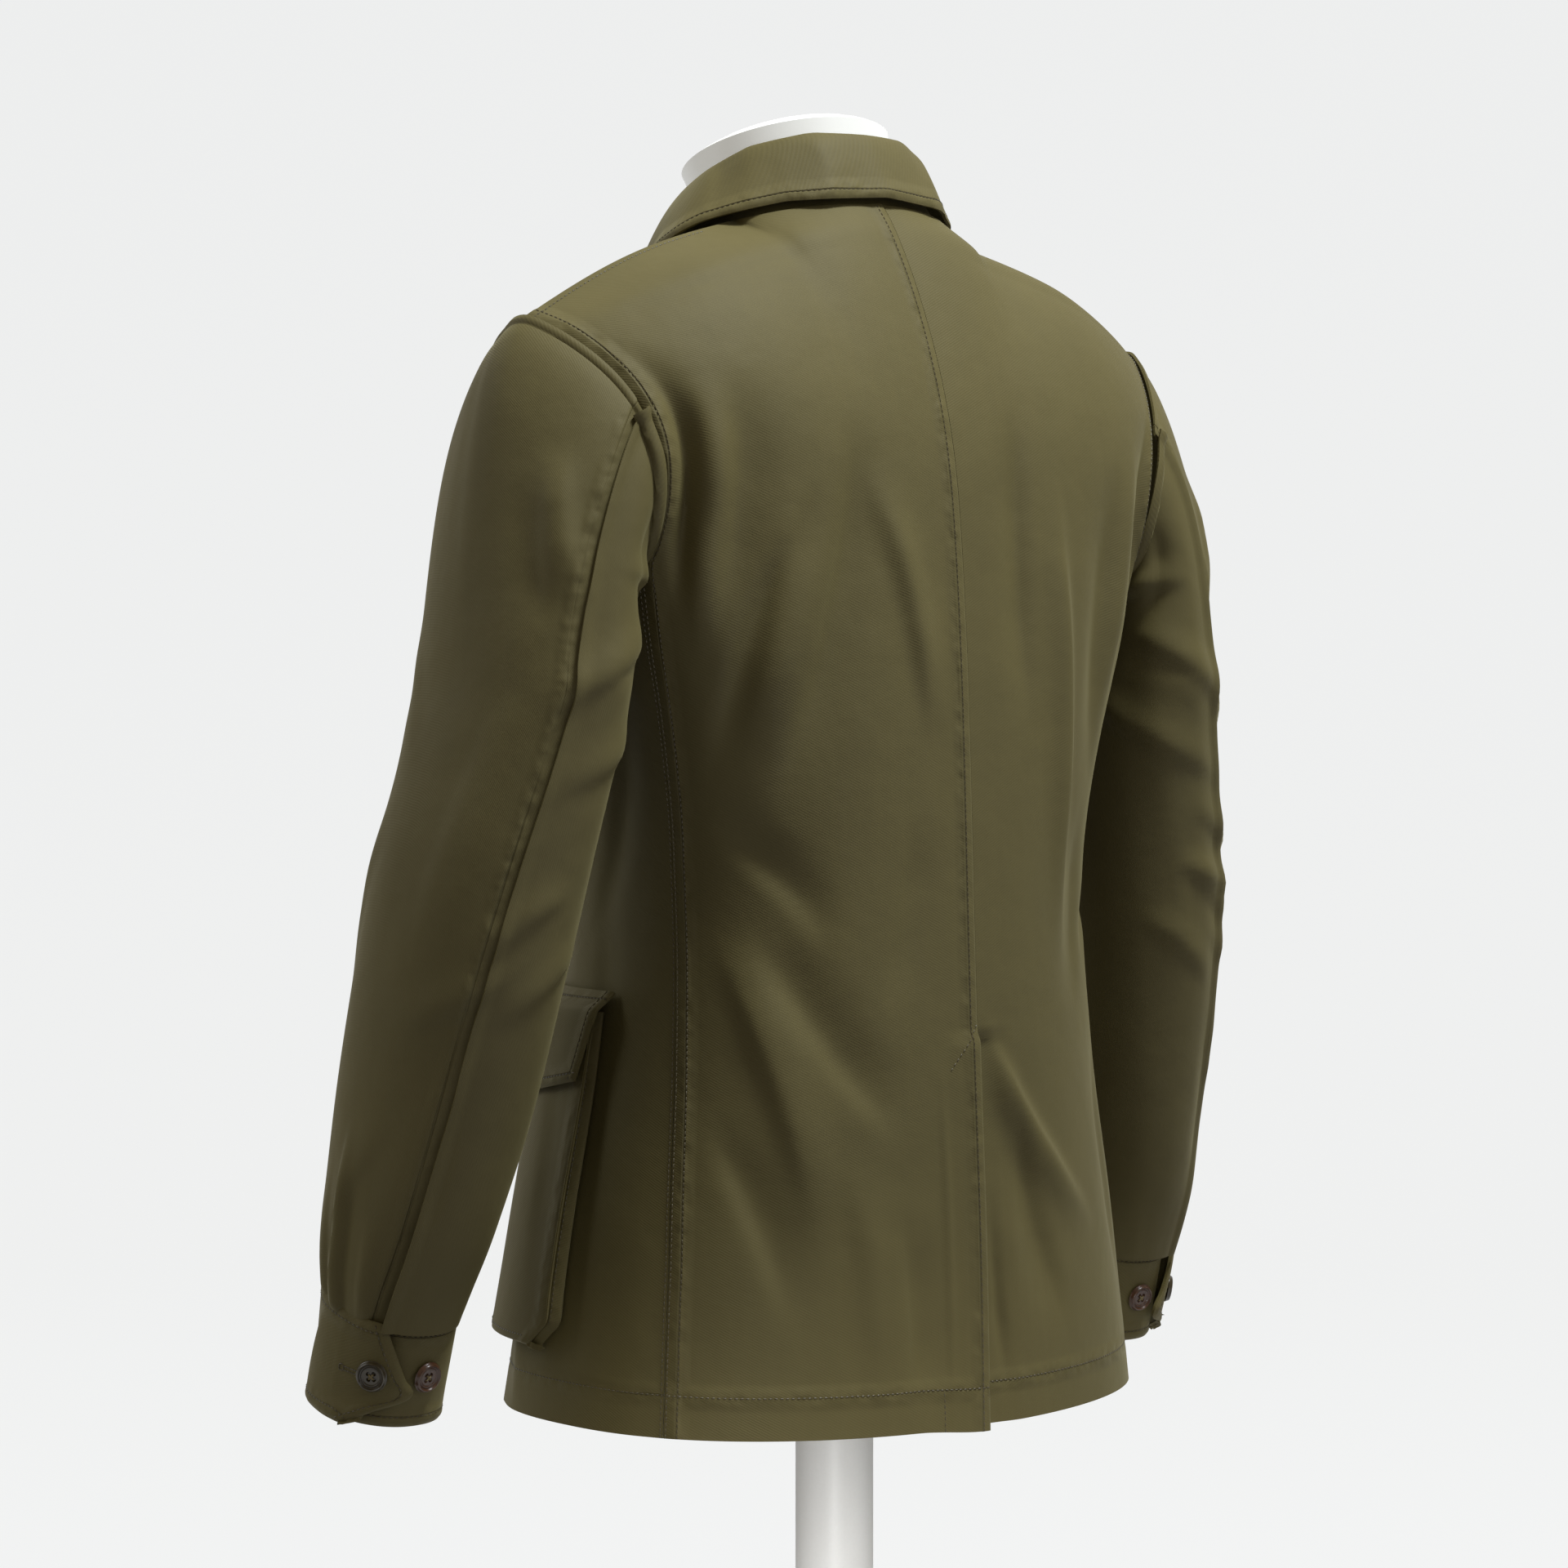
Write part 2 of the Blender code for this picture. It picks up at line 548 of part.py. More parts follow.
def add_cloth(name, grid_and_skip, thickness=TWILL, flip=False, upright_top=False):
    """A cloth piece: the grid is its outer face, with a wall of even thickness inside it.

    At a shoulder seam the wall's edge stands upright, so that back and front meet face to face."""
    grid, skip = grid_and_skip
    rows, columns = grid.shape[:2]
    faces = [(r * columns + c, r * columns + c + 1, (r + 1) * columns + c + 1, (r + 1) * columns + c)
             for r in range(rows - 1) for c in range(columns - 1) if (r, c) not in skip]
    if flip:
        faces = [face[::-1] for face in faces]
    ways = outward_ways(grid, faces)
    if upright_top:
        ways[-columns:, 1] = 0
        ways[-columns:] /= np.linalg.norm(ways[-columns:], axis=1)[:, None] + 1e-12
    used = sorted({k for face in faces for k in face})
    place = {k: n for n, k in enumerate(used)}
    outer = grid.reshape(-1, 3)[used]
    inner = outer - ways[used] * thickness
    faces = [tuple(place[k] for k in face) for face in faces]
    edges = {(face[k], face[(k + 1) % 4]) for face in faces for k in range(4)}
    count = len(used)
    rim = [(b, a, a + count, b + count) for a, b in edges if (b, a) not in edges]
    inside = [tuple(k + count for k in face[::-1]) for face in faces]
    obj = add_object(name, np.concatenate((outer, inner)), faces + inside + sorted(rim), (OLIVE, 0.85))
    obj.data.shade_smooth()
    obj.data.set_sharp_from_angle(angle=math.radians(50))
    return obj


def add_turned(name, rings, look):
    """A closed body from stacked rings of points, with flat ends."""
    rings = np.array(rings)
    count, around = rings.shape[:2]
    faces = [(k * around + j, k * around + (j + 1) % around, (k + 1) * around + (j + 1) % around,
              (k + 1) * around + j) for k in range(count - 1) for j in range(around)]
    faces.append(tuple(range(around))[::-1])
    faces.append(tuple((count - 1) * around + j for j in range(around)))
    obj = add_object(name, rings.reshape(-1, 3), faces, look)
    obj.data.shade_smooth()
    obj.data.set_sharp_from_angle(angle=math.radians(40))
    return obj


def circle(reach, height, around):
    turns = [2 * math.pi * k / around for k in range(around)]
    return [(reach * math.cos(t), reach * math.sin(t), height) for t in turns]


def add_button(name, centre, normal):
    """A turned button with a raised rim, standing just clear of the cloth."""
    normal = np.array(normal) / np.linalg.norm(normal)
    side_way = np.cross((0, 0, 1), normal)
    side_way /= np.linalg.norm(side_way)
    up_way = np.cross(normal, side_way)
    profile = [(0.80, 0), (1.0, 0.35), (0.94, 1.0), (0.78, 1.0), (0.70, 0.72)]
    rings = []
    for reach, rise in profile:
        rings.append([centre + normal * (0.0006 + BUTTON_THICK * rise)
                      + (side_way * math.cos(t) + up_way * math.sin(t)) * BUTTON_RADIUS * reach
                      for t in (2 * math.pi * k / 14 for k in range(14))])
    return add_turned(name, rings, (HORN, 0.35))


def cuff_buttons(side, word):
    for kind, angle, lift in (("tab", 46, 0.0012), ("spare", 93, 0.0012 - 1.15 * LAP)):
        drop = 0.50
        here = cuff_point(angle, drop, lift)
        normal = np.cross(cuff_point(angle + 2, drop, lift) - here, cuff_point(angle, drop + 0.1, lift) - here)
        normal *= 1 if normal[0] * (here[0] - 0.27) + normal[1] * (here[1] + 0.06) > 0 else -1
        normal /= np.linalg.norm(normal)
        stand = 0.0018
        add_button(f"cuff_button_{kind}_{word}", hang(here + normal * stand, side), normal * (side, 1, 1))


def build_form():
    around = 32
    rings = []
    for height in np.linspace(FORM_BOTTOM, 0.714, 19):
        rings.append([round_body(360 * k / around, height, FORM) for k in range(around)][::-1])
    top = np.array(rings[-1])
    middle = top.mean(axis=0)
    rings[-1] = top + np.outer((top[:, 1] - middle[1]) * NECK_CAP_SLOPE, (0, 0, 1))
    lip = rings[-1]
    for share, rise in ((0.86, 0.6), (0.5, 0.95), (0.15, 1.05)):
        rings.append(middle + (lip - middle) * share + (0, 0, NECK_CAP_RISE * rise))
    low = np.array(rings[0])
    centre = low.mean(axis=0)
    rings.insert(0, centre + (low - centre) * 0.90 - (0, 0, 0.006))
    add_turned("form_torso", rings, (LACQUER, 0.35))
    pole_top = FORM_BOTTOM - 0.006 - 0.0004
    pole = [circle(POLE_RADIUS, h, 32) for h in (BASE_THICK + 0.0004 - HEM, pole_top)]
    add_turned("form_pole", pole, (LACQUER, 0.30))
    profile = ((1.0, 0), (1.0, 0.7), (0.98, 1.0))
    add_turned("form_base", [circle(BASE_RADIUS * r, BASE_THICK * h - HEM, 64) for r, h in profile], (STEEL, 0.4, 1.0))


def build_jacket():
    for side, word in ((1, "left"), (-1, "right")):
        out = side < 0
        add_cloth(f"back_{word}", back_panel(side), flip=not out, upright_top=True)
        add_cloth(f"front_{word}", front_panel(side), flip=not out, upright_top=True)
        add_cloth(f"sleeve_top_{word}", sleeve_piece(side, True), flip=out)
        add_cloth(f"sleeve_under_{word}", sleeve_piece(side, False), flip=out)
        add_cloth(f"cuff_{word}", cuff(side), CUFF_CLOTH, flip=not out)
        cuff_buttons(side, word)
        add_cloth(f"pocket_{word}", pocket(side), flip=not out)
        add_cloth(f"pocket_flap_{word}", flap(side), flip=not out)
    add_cloth("collar_stand", collar_piece(False), CUFF_CLOTH)
    add_cloth("collar_fall", collar_piece(True), CUFF_CLOTH)
    for number, height in enumerate(FRONT_BUTTONS, 1):
        centre = round_body(180, height) - (0, LAP + 0.0008, 0)
        add_button(f"front_button_{number}", centre, (0, -1, 0))


clear_scene()
build_jacket()
build_form()
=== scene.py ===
"""A field jacket in olive cotton twill on a limbless dress form, seen from behind its left side.

Metres, +Z up. The wearer's left is +X and the front faces -Y. The origin is the centre of the
base's underside, on the pole's axis. Heights in the tables are measured from the jacket's hem.
"""

import json
import math
from collections import namedtuple
from functools import lru_cache

import bpy
import numpy as np
from bpy.props import FloatProperty, FloatVectorProperty, PointerProperty
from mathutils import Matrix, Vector

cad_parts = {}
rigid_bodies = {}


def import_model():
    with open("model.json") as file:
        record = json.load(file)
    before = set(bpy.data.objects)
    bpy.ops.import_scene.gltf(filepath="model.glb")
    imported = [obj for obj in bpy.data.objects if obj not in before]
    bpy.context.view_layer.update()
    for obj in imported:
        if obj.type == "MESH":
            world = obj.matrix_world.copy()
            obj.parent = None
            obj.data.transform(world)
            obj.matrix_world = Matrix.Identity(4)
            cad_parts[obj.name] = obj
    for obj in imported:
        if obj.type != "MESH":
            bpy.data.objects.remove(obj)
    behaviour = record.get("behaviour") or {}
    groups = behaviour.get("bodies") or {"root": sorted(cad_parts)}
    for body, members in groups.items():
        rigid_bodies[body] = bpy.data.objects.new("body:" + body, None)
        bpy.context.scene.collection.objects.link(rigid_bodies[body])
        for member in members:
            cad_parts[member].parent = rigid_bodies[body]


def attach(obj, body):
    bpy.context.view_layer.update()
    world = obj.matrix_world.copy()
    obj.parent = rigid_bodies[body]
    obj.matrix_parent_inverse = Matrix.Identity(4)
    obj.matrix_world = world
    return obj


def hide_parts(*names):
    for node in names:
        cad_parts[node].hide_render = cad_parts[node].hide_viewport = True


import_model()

bl_info = {
    "name": "Field Jacket on a Dress Form",
    "version": (1, 0, 0),
    "blender": (4, 5, 0),
    "location": "3D View > Sidebar > Jacket",
    "description": "Builds an olive twill field jacket on a white dress form, and its studio",
    "category": "Add Mesh",
}


# Sizes ----------------------------------------------------------------------------------------

HEM = 0.240            # the hem's height above the floor
TWILL = 0.0016         # one layer of cloth
CUFF_CLOTH = 0.0022    # a cuff or collar, sewn double
SEAM_GAP = 0.0006      # between two pieces at a seam
LAP = 0.0028           # how far an upper layer stands off the layer below it

CHEST = 0.475          # where the side seam meets the armhole
UNDERARM = 0.447       # the armhole's lowest point
SHOULDER_X = 0.228     # shoulder point, from the centre line
SHOULDER_Y = 0.006
SHOULDER_H = 0.607
SHOULDER_CROWN = 0.0075  # how far the shoulder seam bows up between neck and shoulder
NECK_SHARE = 0.42      # the part of a panel's width that lies under the neckline
NECK_X = 0.078         # side neck point
NECK_Y = 0.000
NECK_H = 0.668
NECK_BACK_Y, NECK_BACK_H = 0.041, 0.679
NECK_FRONT_Y, NECK_FRONT_H = -0.118, 0.612
HEM_DIP = 0.004        # the back hem below the side
VENT_TOP = 0.215       # the centre-back vent's top
UNDERLAP = 0.036       # the vent's underlap, past the centre line
FRONT_LAP = 0.016      # each front's extension, past the centre line

Section = namedtuple("Section", "height half_width back front widest_y squareness")
BODY = [
    Section(-0.02, 0.195, 0.1295, -0.160, -0.010, 2.4),
    Section(0.00, 0.192, 0.1290, -0.155, -0.010, 2.4),
    Section(0.10, 0.177, 0.1260, -0.142, -0.010, 2.4),
    Section(0.20, 0.158, 0.1210, -0.136, -0.009, 2.45),
    Section(0.30, 0.150, 0.1170, -0.126, -0.007, 2.5),
    Section(0.38, 0.163, 0.1140, -0.130, -0.007, 2.8),
    Section(0.44, 0.182, 0.1115, -0.136, -0.008, 3.2),
    Section(0.51, 0.204, 0.1060, -0.136, -0.008, 3.3),
    Section(0.57, 0.228, 0.1020, -0.130, -0.006, 3.3),
    Section(0.64, 0.245, 0.0980, -0.120, -0.005, 3.3),
    Section(0.72, 0.250, 0.0960, -0.110, -0.005, 3.3),
]

Ring = namedtuple("Ring", "height x y outer inner half_depth tilt hind_seam")
SLEEVE = [
    Ring(0.430, 0.2150, 0.005, 0.052, 0.026, 0.075, 0.00, 73),
    Ring(0.370, 0.2300, 0.000, 0.053, 0.037, 0.070, 0.00, 72),
    Ring(0.310, 0.2450, -0.007, 0.053, 0.044, 0.066, -0.05, 69),
    Ring(0.246, 0.2558, -0.017, 0.050, 0.046, 0.062, -0.10, 65),
    Ring(0.185, 0.2612, -0.031, 0.047, 0.045, 0.058, -0.16, 61),
    Ring(0.124, 0.2663, -0.044, 0.044, 0.037, 0.051, -0.22, 55),
    Ring(0.094, 0.2700, -0.051, 0.041, 0.034, 0.045, -0.27, 51),
    Ring(0.0725, 0.2735, -0.056, 0.034, 0.032, 0.0390, -0.31, 48),
]
Shift = namedtuple("Shift", "height out back up")
RIGHT_ARM = [
    Shift(0.00, 0.003, 0.003, -0.009),
    Shift(0.085, 0.001, 0.002, -0.009),
    Shift(0.12, 0.000, 0.001, -0.008),
    Shift(0.20, -0.002, -0.002, -0.004),
    Shift(0.30, -0.004, -0.005, 0.000),
    Shift(0.37, -0.002, -0.005, 0.000),
    Shift(0.43, 0.000, -0.004, 0.000),
    Shift(0.50, 0.000, 0.000, 0.000),
]
CAP_RING = 0.405       # the first level ring below the sleeve head
HIND_SEAM_START = 65   # degrees round the armhole, from the shoulder to the back
FRONT_SEAM = 285
SEAM_ANGLE = 0.05       # half a seam gap round the sleeve, in degrees
CUFF_TOP, CUFF_BOTTOM = 0.0725, 0.0115
CUFF_BOTTOM_X, CUFF_BOTTOM_Y, CUFF_BOTTOM_TILT = 0.2740, -0.072, -0.18
CUFF_OUTER, CUFF_HALF_DEPTH = 0.0335, 0.0385

POCKET_TOP, POCKET_BOTTOM = 0.226, 0.040
POCKET_EDGE, POCKET_WIDTH = 0.009, 0.152   # from the side line, towards the front
BELLOWS_TOP, BELLOWS_BOTTOM = 0.006, 0.010
FLAP_TOP, FLAP_SIDE, FLAP_POINT = 0.237, 0.052, 0.067

BUTTON_RADIUS, BUTTON_THICK = 0.0088, 0.0032
FRONT_BUTTONS = (0.565, 0.465, 0.365, 0.265, 0.165)

POLE_RADIUS = 0.0225
BASE_RADIUS, BASE_THICK = 0.150, 0.012
FORM_BOTTOM = 0.060
FORM = [
    Section(0.060, 0.150, 0.094, -0.114, -0.010, 2.3),
    Section(0.090, 0.158, 0.104, -0.122, -0.010, 2.3),
    Section(0.180, 0.143, 0.101, -0.114, -0.010, 2.3),
    Section(0.300, 0.127, 0.094, -0.100, -0.008, 2.3),
    Section(0.380, 0.139, 0.092, -0.104, -0.008, 2.4),
    Section(0.440, 0.156, 0.090, -0.110, -0.008, 2.5),
    Section(0.510, 0.163, 0.083, -0.104, -0.010, 2.5),
    Section(0.556, 0.156, 0.070, -0.088, -0.010, 2.4),
    Section(0.584, 0.132, 0.055, -0.074, -0.012, 2.2),
    Section(0.606, 0.098, 0.043, -0.066, -0.014, 2.1),
    Section(0.626, 0.073, 0.034, -0.068, -0.020, 2.0),
    Section(0.648, 0.062, 0.026, -0.084, -0.029, 2.0),
    Section(0.690, 0.059, 0.018, -0.095, -0.038, 2.0),
    Section(0.714, 0.060, 0.016, -0.104, -0.044, 2.0),
]
NECK_CAP_SLOPE, NECK_CAP_RISE = 0.28, 0.012
CAMERA_TURN = math.radians(139.3)   # the camera looks from behind the jacket's left side
HEM_STITCH = 0.023                  # the hem's row of stitches above the edge
CUFF_STITCH = 0.0058                # topstitching in from a cuff's edges
EDGE_STITCH = 0.0055                # the same on the collar and the flaps


# Reading the tables ---------------------------------------------------------------------------

def read(table, height):
    """A row of the table at any height, on a smooth curve through its rows."""
    rows = sorted(table)
    heights = [row.height for row in rows]
    i = min(max(int(np.searchsorted(heights, height)) - 1, 0), len(rows) - 2)
    before, low, high, after = (rows[min(max(k, 0), len(rows) - 1)] for k in (i - 1, i, i + 1, i + 2))
    step = high.height - low.height
    t = min(max((height - low.height) / step, 0.0), 1.0)
    values = [height]
    for column in range(1, len(low)):
        start = (high[column] - before[column]) / max(high.height - before.height, 1e-9) * step
        end = (after[column] - low[column]) / max(after.height - low.height, 1e-9) * step
        values.append((2 * t**3 - 3 * t**2 + 1) * low[column] + (t**3 - 2 * t**2 + t) * start
                      + (3 * t**2 - 2 * t**3) * high[column] + (t**3 - t**2) * end)
    return type(low)(*values)


def radius(angle, across, along, squareness):
    """How far a rounded oval reaches at this angle, in radians from its depth axis."""
    reach = abs(math.sin(angle) / across) ** squareness + abs(math.cos(angle) / along) ** squareness
    return reach ** (-1 / squareness)


def round_body(angle, height, table=BODY):
    """A point of the body's outside: 0 degrees is the centre back, 90 the side, 180 the front."""
    row = read(table, height)
    turn = math.radians(angle)
    depth = row.back - row.widest_y if math.cos(turn) > 0 else row.widest_y - row.front
    reach = radius(turn, row.half_width, depth, row.squareness)
    return np.array((reach * math.sin(turn), row.widest_y + reach * math.cos(turn), height))


def side_seam(height):
    """The angle of the seam that joins back and front, behind the side."""
    heights = (0.0, 0.10, 0.20, 0.30, 0.38, CHEST)
    return float(np.interp(height, heights, (68.5, 69.5, 72.0, 75.0, 74.0, 72.0)))


def neck_line(angle):
    """The collar seam: 0 degrees is the centre back, 90 the side neck point, 180 the front."""
    turn = math.radians(angle)
    x = NECK_X * math.sin(turn)
    if angle <= 90:
        rise = math.cos(turn) ** 1.5
        return np.array((x, NECK_Y + (NECK_BACK_Y - NECK_Y) * math.cos(turn),
                         NECK_H + (NECK_BACK_H - NECK_H) * rise))
    fall = (1 - math.sin(turn)) ** 0.8
    return np.array((x, NECK_Y - (NECK_Y - NECK_FRONT_Y) * -math.cos(turn),
                     NECK_H - (NECK_H - NECK_FRONT_H) * fall))


def shoulder_seam(part):
    """The shoulder seam, from the side neck point (0) to the shoulder point (1)."""
    crown = SHOULDER_CROWN * math.sin(math.pi * part)
    return np.array((NECK_X + (SHOULDER_X - NECK_X) * part, NECK_Y + (SHOULDER_Y - NECK_Y) * part,
                     NECK_H + (SHOULDER_H - NECK_H) * part + crown))


def yoke(x, height, top, front):
    """The body's depth above the chest, rounding over to its top edge point."""
    row = read(BODY, height)
    depth = row.widest_y - row.front if front else row.back - row.widest_y
    flat = depth * max(1 - (min(abs(x) / row.half_width, 1.0)) ** row.squareness, 0) ** (1 / row.squareness)
    full = row.widest_y - flat if front else row.widest_y + flat
    out = min(abs(x) / SHOULDER_X, 1.0)
    reach = 0.20 - 0.10 * out
    powers = (0.92, 0.60, 0.56, 0.68) if front else (0.92, 0.52, 0.48, 0.66)
    power = np.interp(out, (0, 0.35, 0.6, 1), powers)
    t = min(max((top[2] - height) / reach, 0.0), 1.0)
    return top[1] + (full - top[1]) * (1 - (1 - t) ** 2.3) ** power


def top_edge(part, front):
    """A panel's top edge, from the centre line (0) by the side neck point to the shoulder (1)."""
    if part <= NECK_SHARE:
        angle = 90 * part / NECK_SHARE
        return neck_line(180 - angle if front else angle)
    return shoulder_seam((part - NECK_SHARE) / (1 - NECK_SHARE))


def yoke_point(part, rise, front, edge_angle, level):
    """A point above the chest line, straight from its top edge and its chest line."""
    start = 180 if front else 0
    low = round_body(start + (edge_angle - start) * part, level)
    top = top_edge(part, front)
    lean = rise ** (3.2 if part > 0.55 else 1.2 + 2.0 * part / 0.55)
    x = low[0] + (top[0] - low[0]) * lean
    height = low[2] + (top[2] - low[2]) * rise
    y = yoke(x, height, top, front)
    settle = min(rise / 0.35, 1.0)
    flat = yoke(low[0], low[2], top, front)
    return np.array((x, y + (low[1] - flat) * (1 - settle) ** 2, height))


def upper_point(part, rise, front, edge_angle, level):
    """The same, evened across its neighbours so that the neckline's corner leaves no ridge below."""
    spread = min(part, 1 - part, 0.16) * (1 - rise) ** 0.4
    near = ((-1, 1), (-0.5, 2), (0, 3), (0.5, 2), (1, 1))
    return sum(weight * yoke_point(part + spread * way, rise, front, edge_angle, level)
               for way, weight in near) / 9


FRONT_EDGE = 112       # the angle where the front armhole's edge meets the chest line


def armhole_floor(part):
    """The armhole's underside, from the side seam (0) to the front edge (1)."""
    dip = (CHEST - UNDERARM) * math.sin(math.pi * part) ** 0.8
    angle = side_seam(CHEST) + (FRONT_EDGE - side_seam(CHEST)) * part
    return round_body(angle, CHEST - dip)


@lru_cache(maxsize=None)
def armhole(steps=16):
    """The armhole as two runs of points, both from the shoulder down to the underarm."""
    back = [upper_point(1, 1 - k / steps, False, side_seam(CHEST), CHEST) for k in range(steps)]
    back += [armhole_floor(0.5 * k / steps) for k in range(steps + 1)]
    front = [upper_point(1, 1 - k / steps, True, FRONT_EDGE, CHEST) for k in range(steps)]
    front += [armhole_floor(1 - 0.5 * k / steps) for k in range(steps + 1)]
    return np.array(back), np.array(front)


def along(points, part):
    """The point at this share of a run's length."""
    steps = np.linalg.norm(np.diff(points, axis=0), axis=1)
    length = np.concatenate(([0], np.cumsum(steps))) / steps.sum()
    return np.array([np.interp(part, length, points[:, k]) for k in range(3)])


def hem_dip(angle, height):
    """The back hangs a little lower than the sides, at the hem only."""
    low = max(math.cos(math.radians(angle)), 0) ** 2
    return height - HEM_DIP * low * max(1 - height / 0.10, 0)


def ring_point(row, angle):
    """A point of a sleeve ring: 0 degrees faces out, 90 to the back, 180 to the body."""
    turn = math.radians(angle)
    across = row.outer if math.cos(turn) > 0 else row.inner
    reach = radius(turn, row.half_depth, across, 2.15)
    dx, dy = reach * math.cos(turn), reach * math.sin(turn)
    return np.array((row.x + dx, row.y + dy, row.height + row.tilt * dy))


def head_point(angle, t):
    """The sleeve head: from the armhole (t = 0) over to the first level ring (t = 1)."""
    back, front = armhole()
    turn = angle % 360
    start = along(back, turn / 180) if turn <= 180 else along(front, (360 - turn) / 180)
    end = ring_point(read(SLEEVE, CAP_RING), angle)
    lean = math.cos(math.radians(turn))
    leave = np.array((0.80, 0, -0.50 - 0.3 * (1 - lean) / 2))
    leave[1] = 0.35 * math.sin(math.radians(turn))
    reach = np.linalg.norm(end - start)
    start = start + np.array((SEAM_GAP, 0, 0))
    first = start + leave * reach * (0.12 + 0.04 * (1 + lean))
    second = end + np.array((-0.16, 0, 1)) * reach * (0.32 + 0.04 * lean)
    return ((1 - t)**3 * start + 3 * (1 - t)**2 * t * first + 3 * (1 - t) * t**2 * second + t**3 * end)


def hang(points, side):
    """Mirrors an arm's points for the right, which hangs a little nearer the body and lower."""
    points = np.array(points)
    if side < 0:
        level = points[..., 2].copy()
        heights = [row.height for row in RIGHT_ARM]
        for axis in range(3):
            points[..., axis] += np.interp(level, heights, [row[axis + 1] for row in RIGHT_ARM])
    return points * (side, 1, 1)


def cuff_point(angle, drop, lift):
    """A point of the cuff's outside, drop running from its top (0) to its bottom (1)."""
    top = SLEEVE[-1]
    row = top._replace(
        height=CUFF_TOP + (CUFF_BOTTOM - CUFF_TOP) * drop,
        x=top.x + (CUFF_BOTTOM_X - top.x) * drop, y=top.y + (CUFF_BOTTOM_Y - top.y) * drop,
        tilt=top.tilt + (CUFF_BOTTOM_TILT - top.tilt) * drop,
        outer=CUFF_OUTER + lift, inner=CUFF_OUTER + lift, half_depth=CUFF_HALF_DEPTH + lift)
    return ring_point(row, angle)


TAB_TOP, TAB_TIP, TAB_FOOT = 50, 78, 24     # where the tab's end lies round the cuff, in degrees
TIP_DROP = 0.66                              # how far down the cuff the tab's point is
TAB_ROOT = 14                                # past here the cuff is a plain band
UNDERLAP_END = -346                          # the cuff's hidden end, under the tab


def fold_line(angle):
    """The collar's roll, above the collar seam."""
    turn = math.radians(angle)
    depth = 0.060 if angle <= 90 else 0.084
    height = np.interp(angle, (0, 30, 60, 90, 130, 180), (0.7200, 0.7195, 0.7120, 0.6980, 0.672, 0.646))
    return np.array((0.067 * math.sin(turn), -0.036 + depth * math.cos(turn), height))


def collar_edge(angle):
    """The fall's outer edge, lying on the shoulders and then on the chest."""
    turn = math.radians(angle)
    wide = np.interp(angle, (0, 50, 90, 140, 165), (0.080, 0.088, 0.106, 0.104, 0.100))
    y = np.interp(angle, (0, 30, 60, 90, 120, 145, 165),
                  (0.050, 0.043, 0.016, -0.022, -0.078, -0.122, -0.146))
    height = np.interp(angle, (0, 45, 75, 100, 130, 165), (0.6830, 0.6785, 0.6695, 0.6600, 0.6335, 0.594))
    spread = 0.018 * max(angle - 140, 0) / 25
    return np.array((wide * math.sin(turn) ** 0.9 + spread, y, height))


def outward(angle):
    turn = math.radians(angle)
    return np.array((math.sin(turn), math.cos(turn), 0))


def on_front(distance, height, lift):
    """A point a given way forward of the side line, moved out from the front panel."""
    angles = np.linspace(60, 180, 241)
    ring = np.array([round_body(a, height) for a in angles])
    steps = np.concatenate(([0], np.cumsum(np.linalg.norm(np.diff(ring, axis=0), axis=1))))
    steps -= np.interp(90, angles, steps)
    angle = float(np.interp(distance, steps, angles))
    here = round_body(angle, height)
    along_ring = round_body(angle + 0.5, height) - round_body(angle - 0.5, height)
    along_rise = round_body(angle, height + 0.003) - round_body(angle, height - 0.003)
    normal = np.cross(along_rise, along_ring)
    normal /= np.linalg.norm(normal)
    return here + normal * lift * (1 if normal @ (here * (1, 1, 0)) > 0 else -1)


def bellows(height):
    """How far the pocket's face stands off the front."""
    t = (POCKET_TOP - height) / (POCKET_TOP - POCKET_BOTTOM)
    return BELLOWS_TOP + (BELLOWS_BOTTOM - BELLOWS_TOP) * min(max(t, 0), 1) ** 0.8



# Fine cloth -----------------------------------------------------------------------------------

def between(values, places, axis):
    """Values at fractional places along an axis, on smooth curves through the given ones."""
    values = np.moveaxis(np.asarray(values, float), axis, 0)
    last = len(values) - 1
    low = np.clip(np.floor(places).astype(int), 0, last - 1)
    t = (places - low).reshape((-1,) + (1,) * (values.ndim - 1))
    a, b, c, d = (values[np.clip(low + k, 0, last)] for k in (-1, 0, 1, 2))
    out = b + 0.5 * t * (c - a + t * (2 * a - 5 * b + 4 * c - d + t * (3 * b - a - 3 * c + d)))
    return np.moveaxis(out, 0, axis)


def places(count, last, crowding=0.5):
    """Fractional places from 0 to last, crowded towards both ends."""
    t = np.linspace(0, 1, count)
    return last * (t - crowding * np.sin(2 * np.pi * t) / (2 * np.pi))


def step_up(values, low, high):
    """0 below low, 1 above high, and a smooth rise between."""
    t = np.clip((np.asarray(values, float) - low) / (high - low), 0, 1)
    return t * t * (3 - 2 * t)


def step_down(values, low, high):
    return 1 - step_up(values, low, high)


def bell(values, middle, width):
    """1 at the middle, falling smoothly to nearly 0 two widths away."""
    return np.exp(-((values - middle) / width) ** 2)


def grid_faces(rows, columns, present=None):
    """The quads of a grid as corner numbers, leaving out those not present."""
    corner = np.arange(rows * columns).reshape(rows, columns)
    faces = np.stack((corner[:-1, :-1], corner[:-1, 1:], corner[1:, 1:], corner[1:, :-1]), axis=-1)
    return faces[present] if present is not None else faces.reshape(-1, 4)


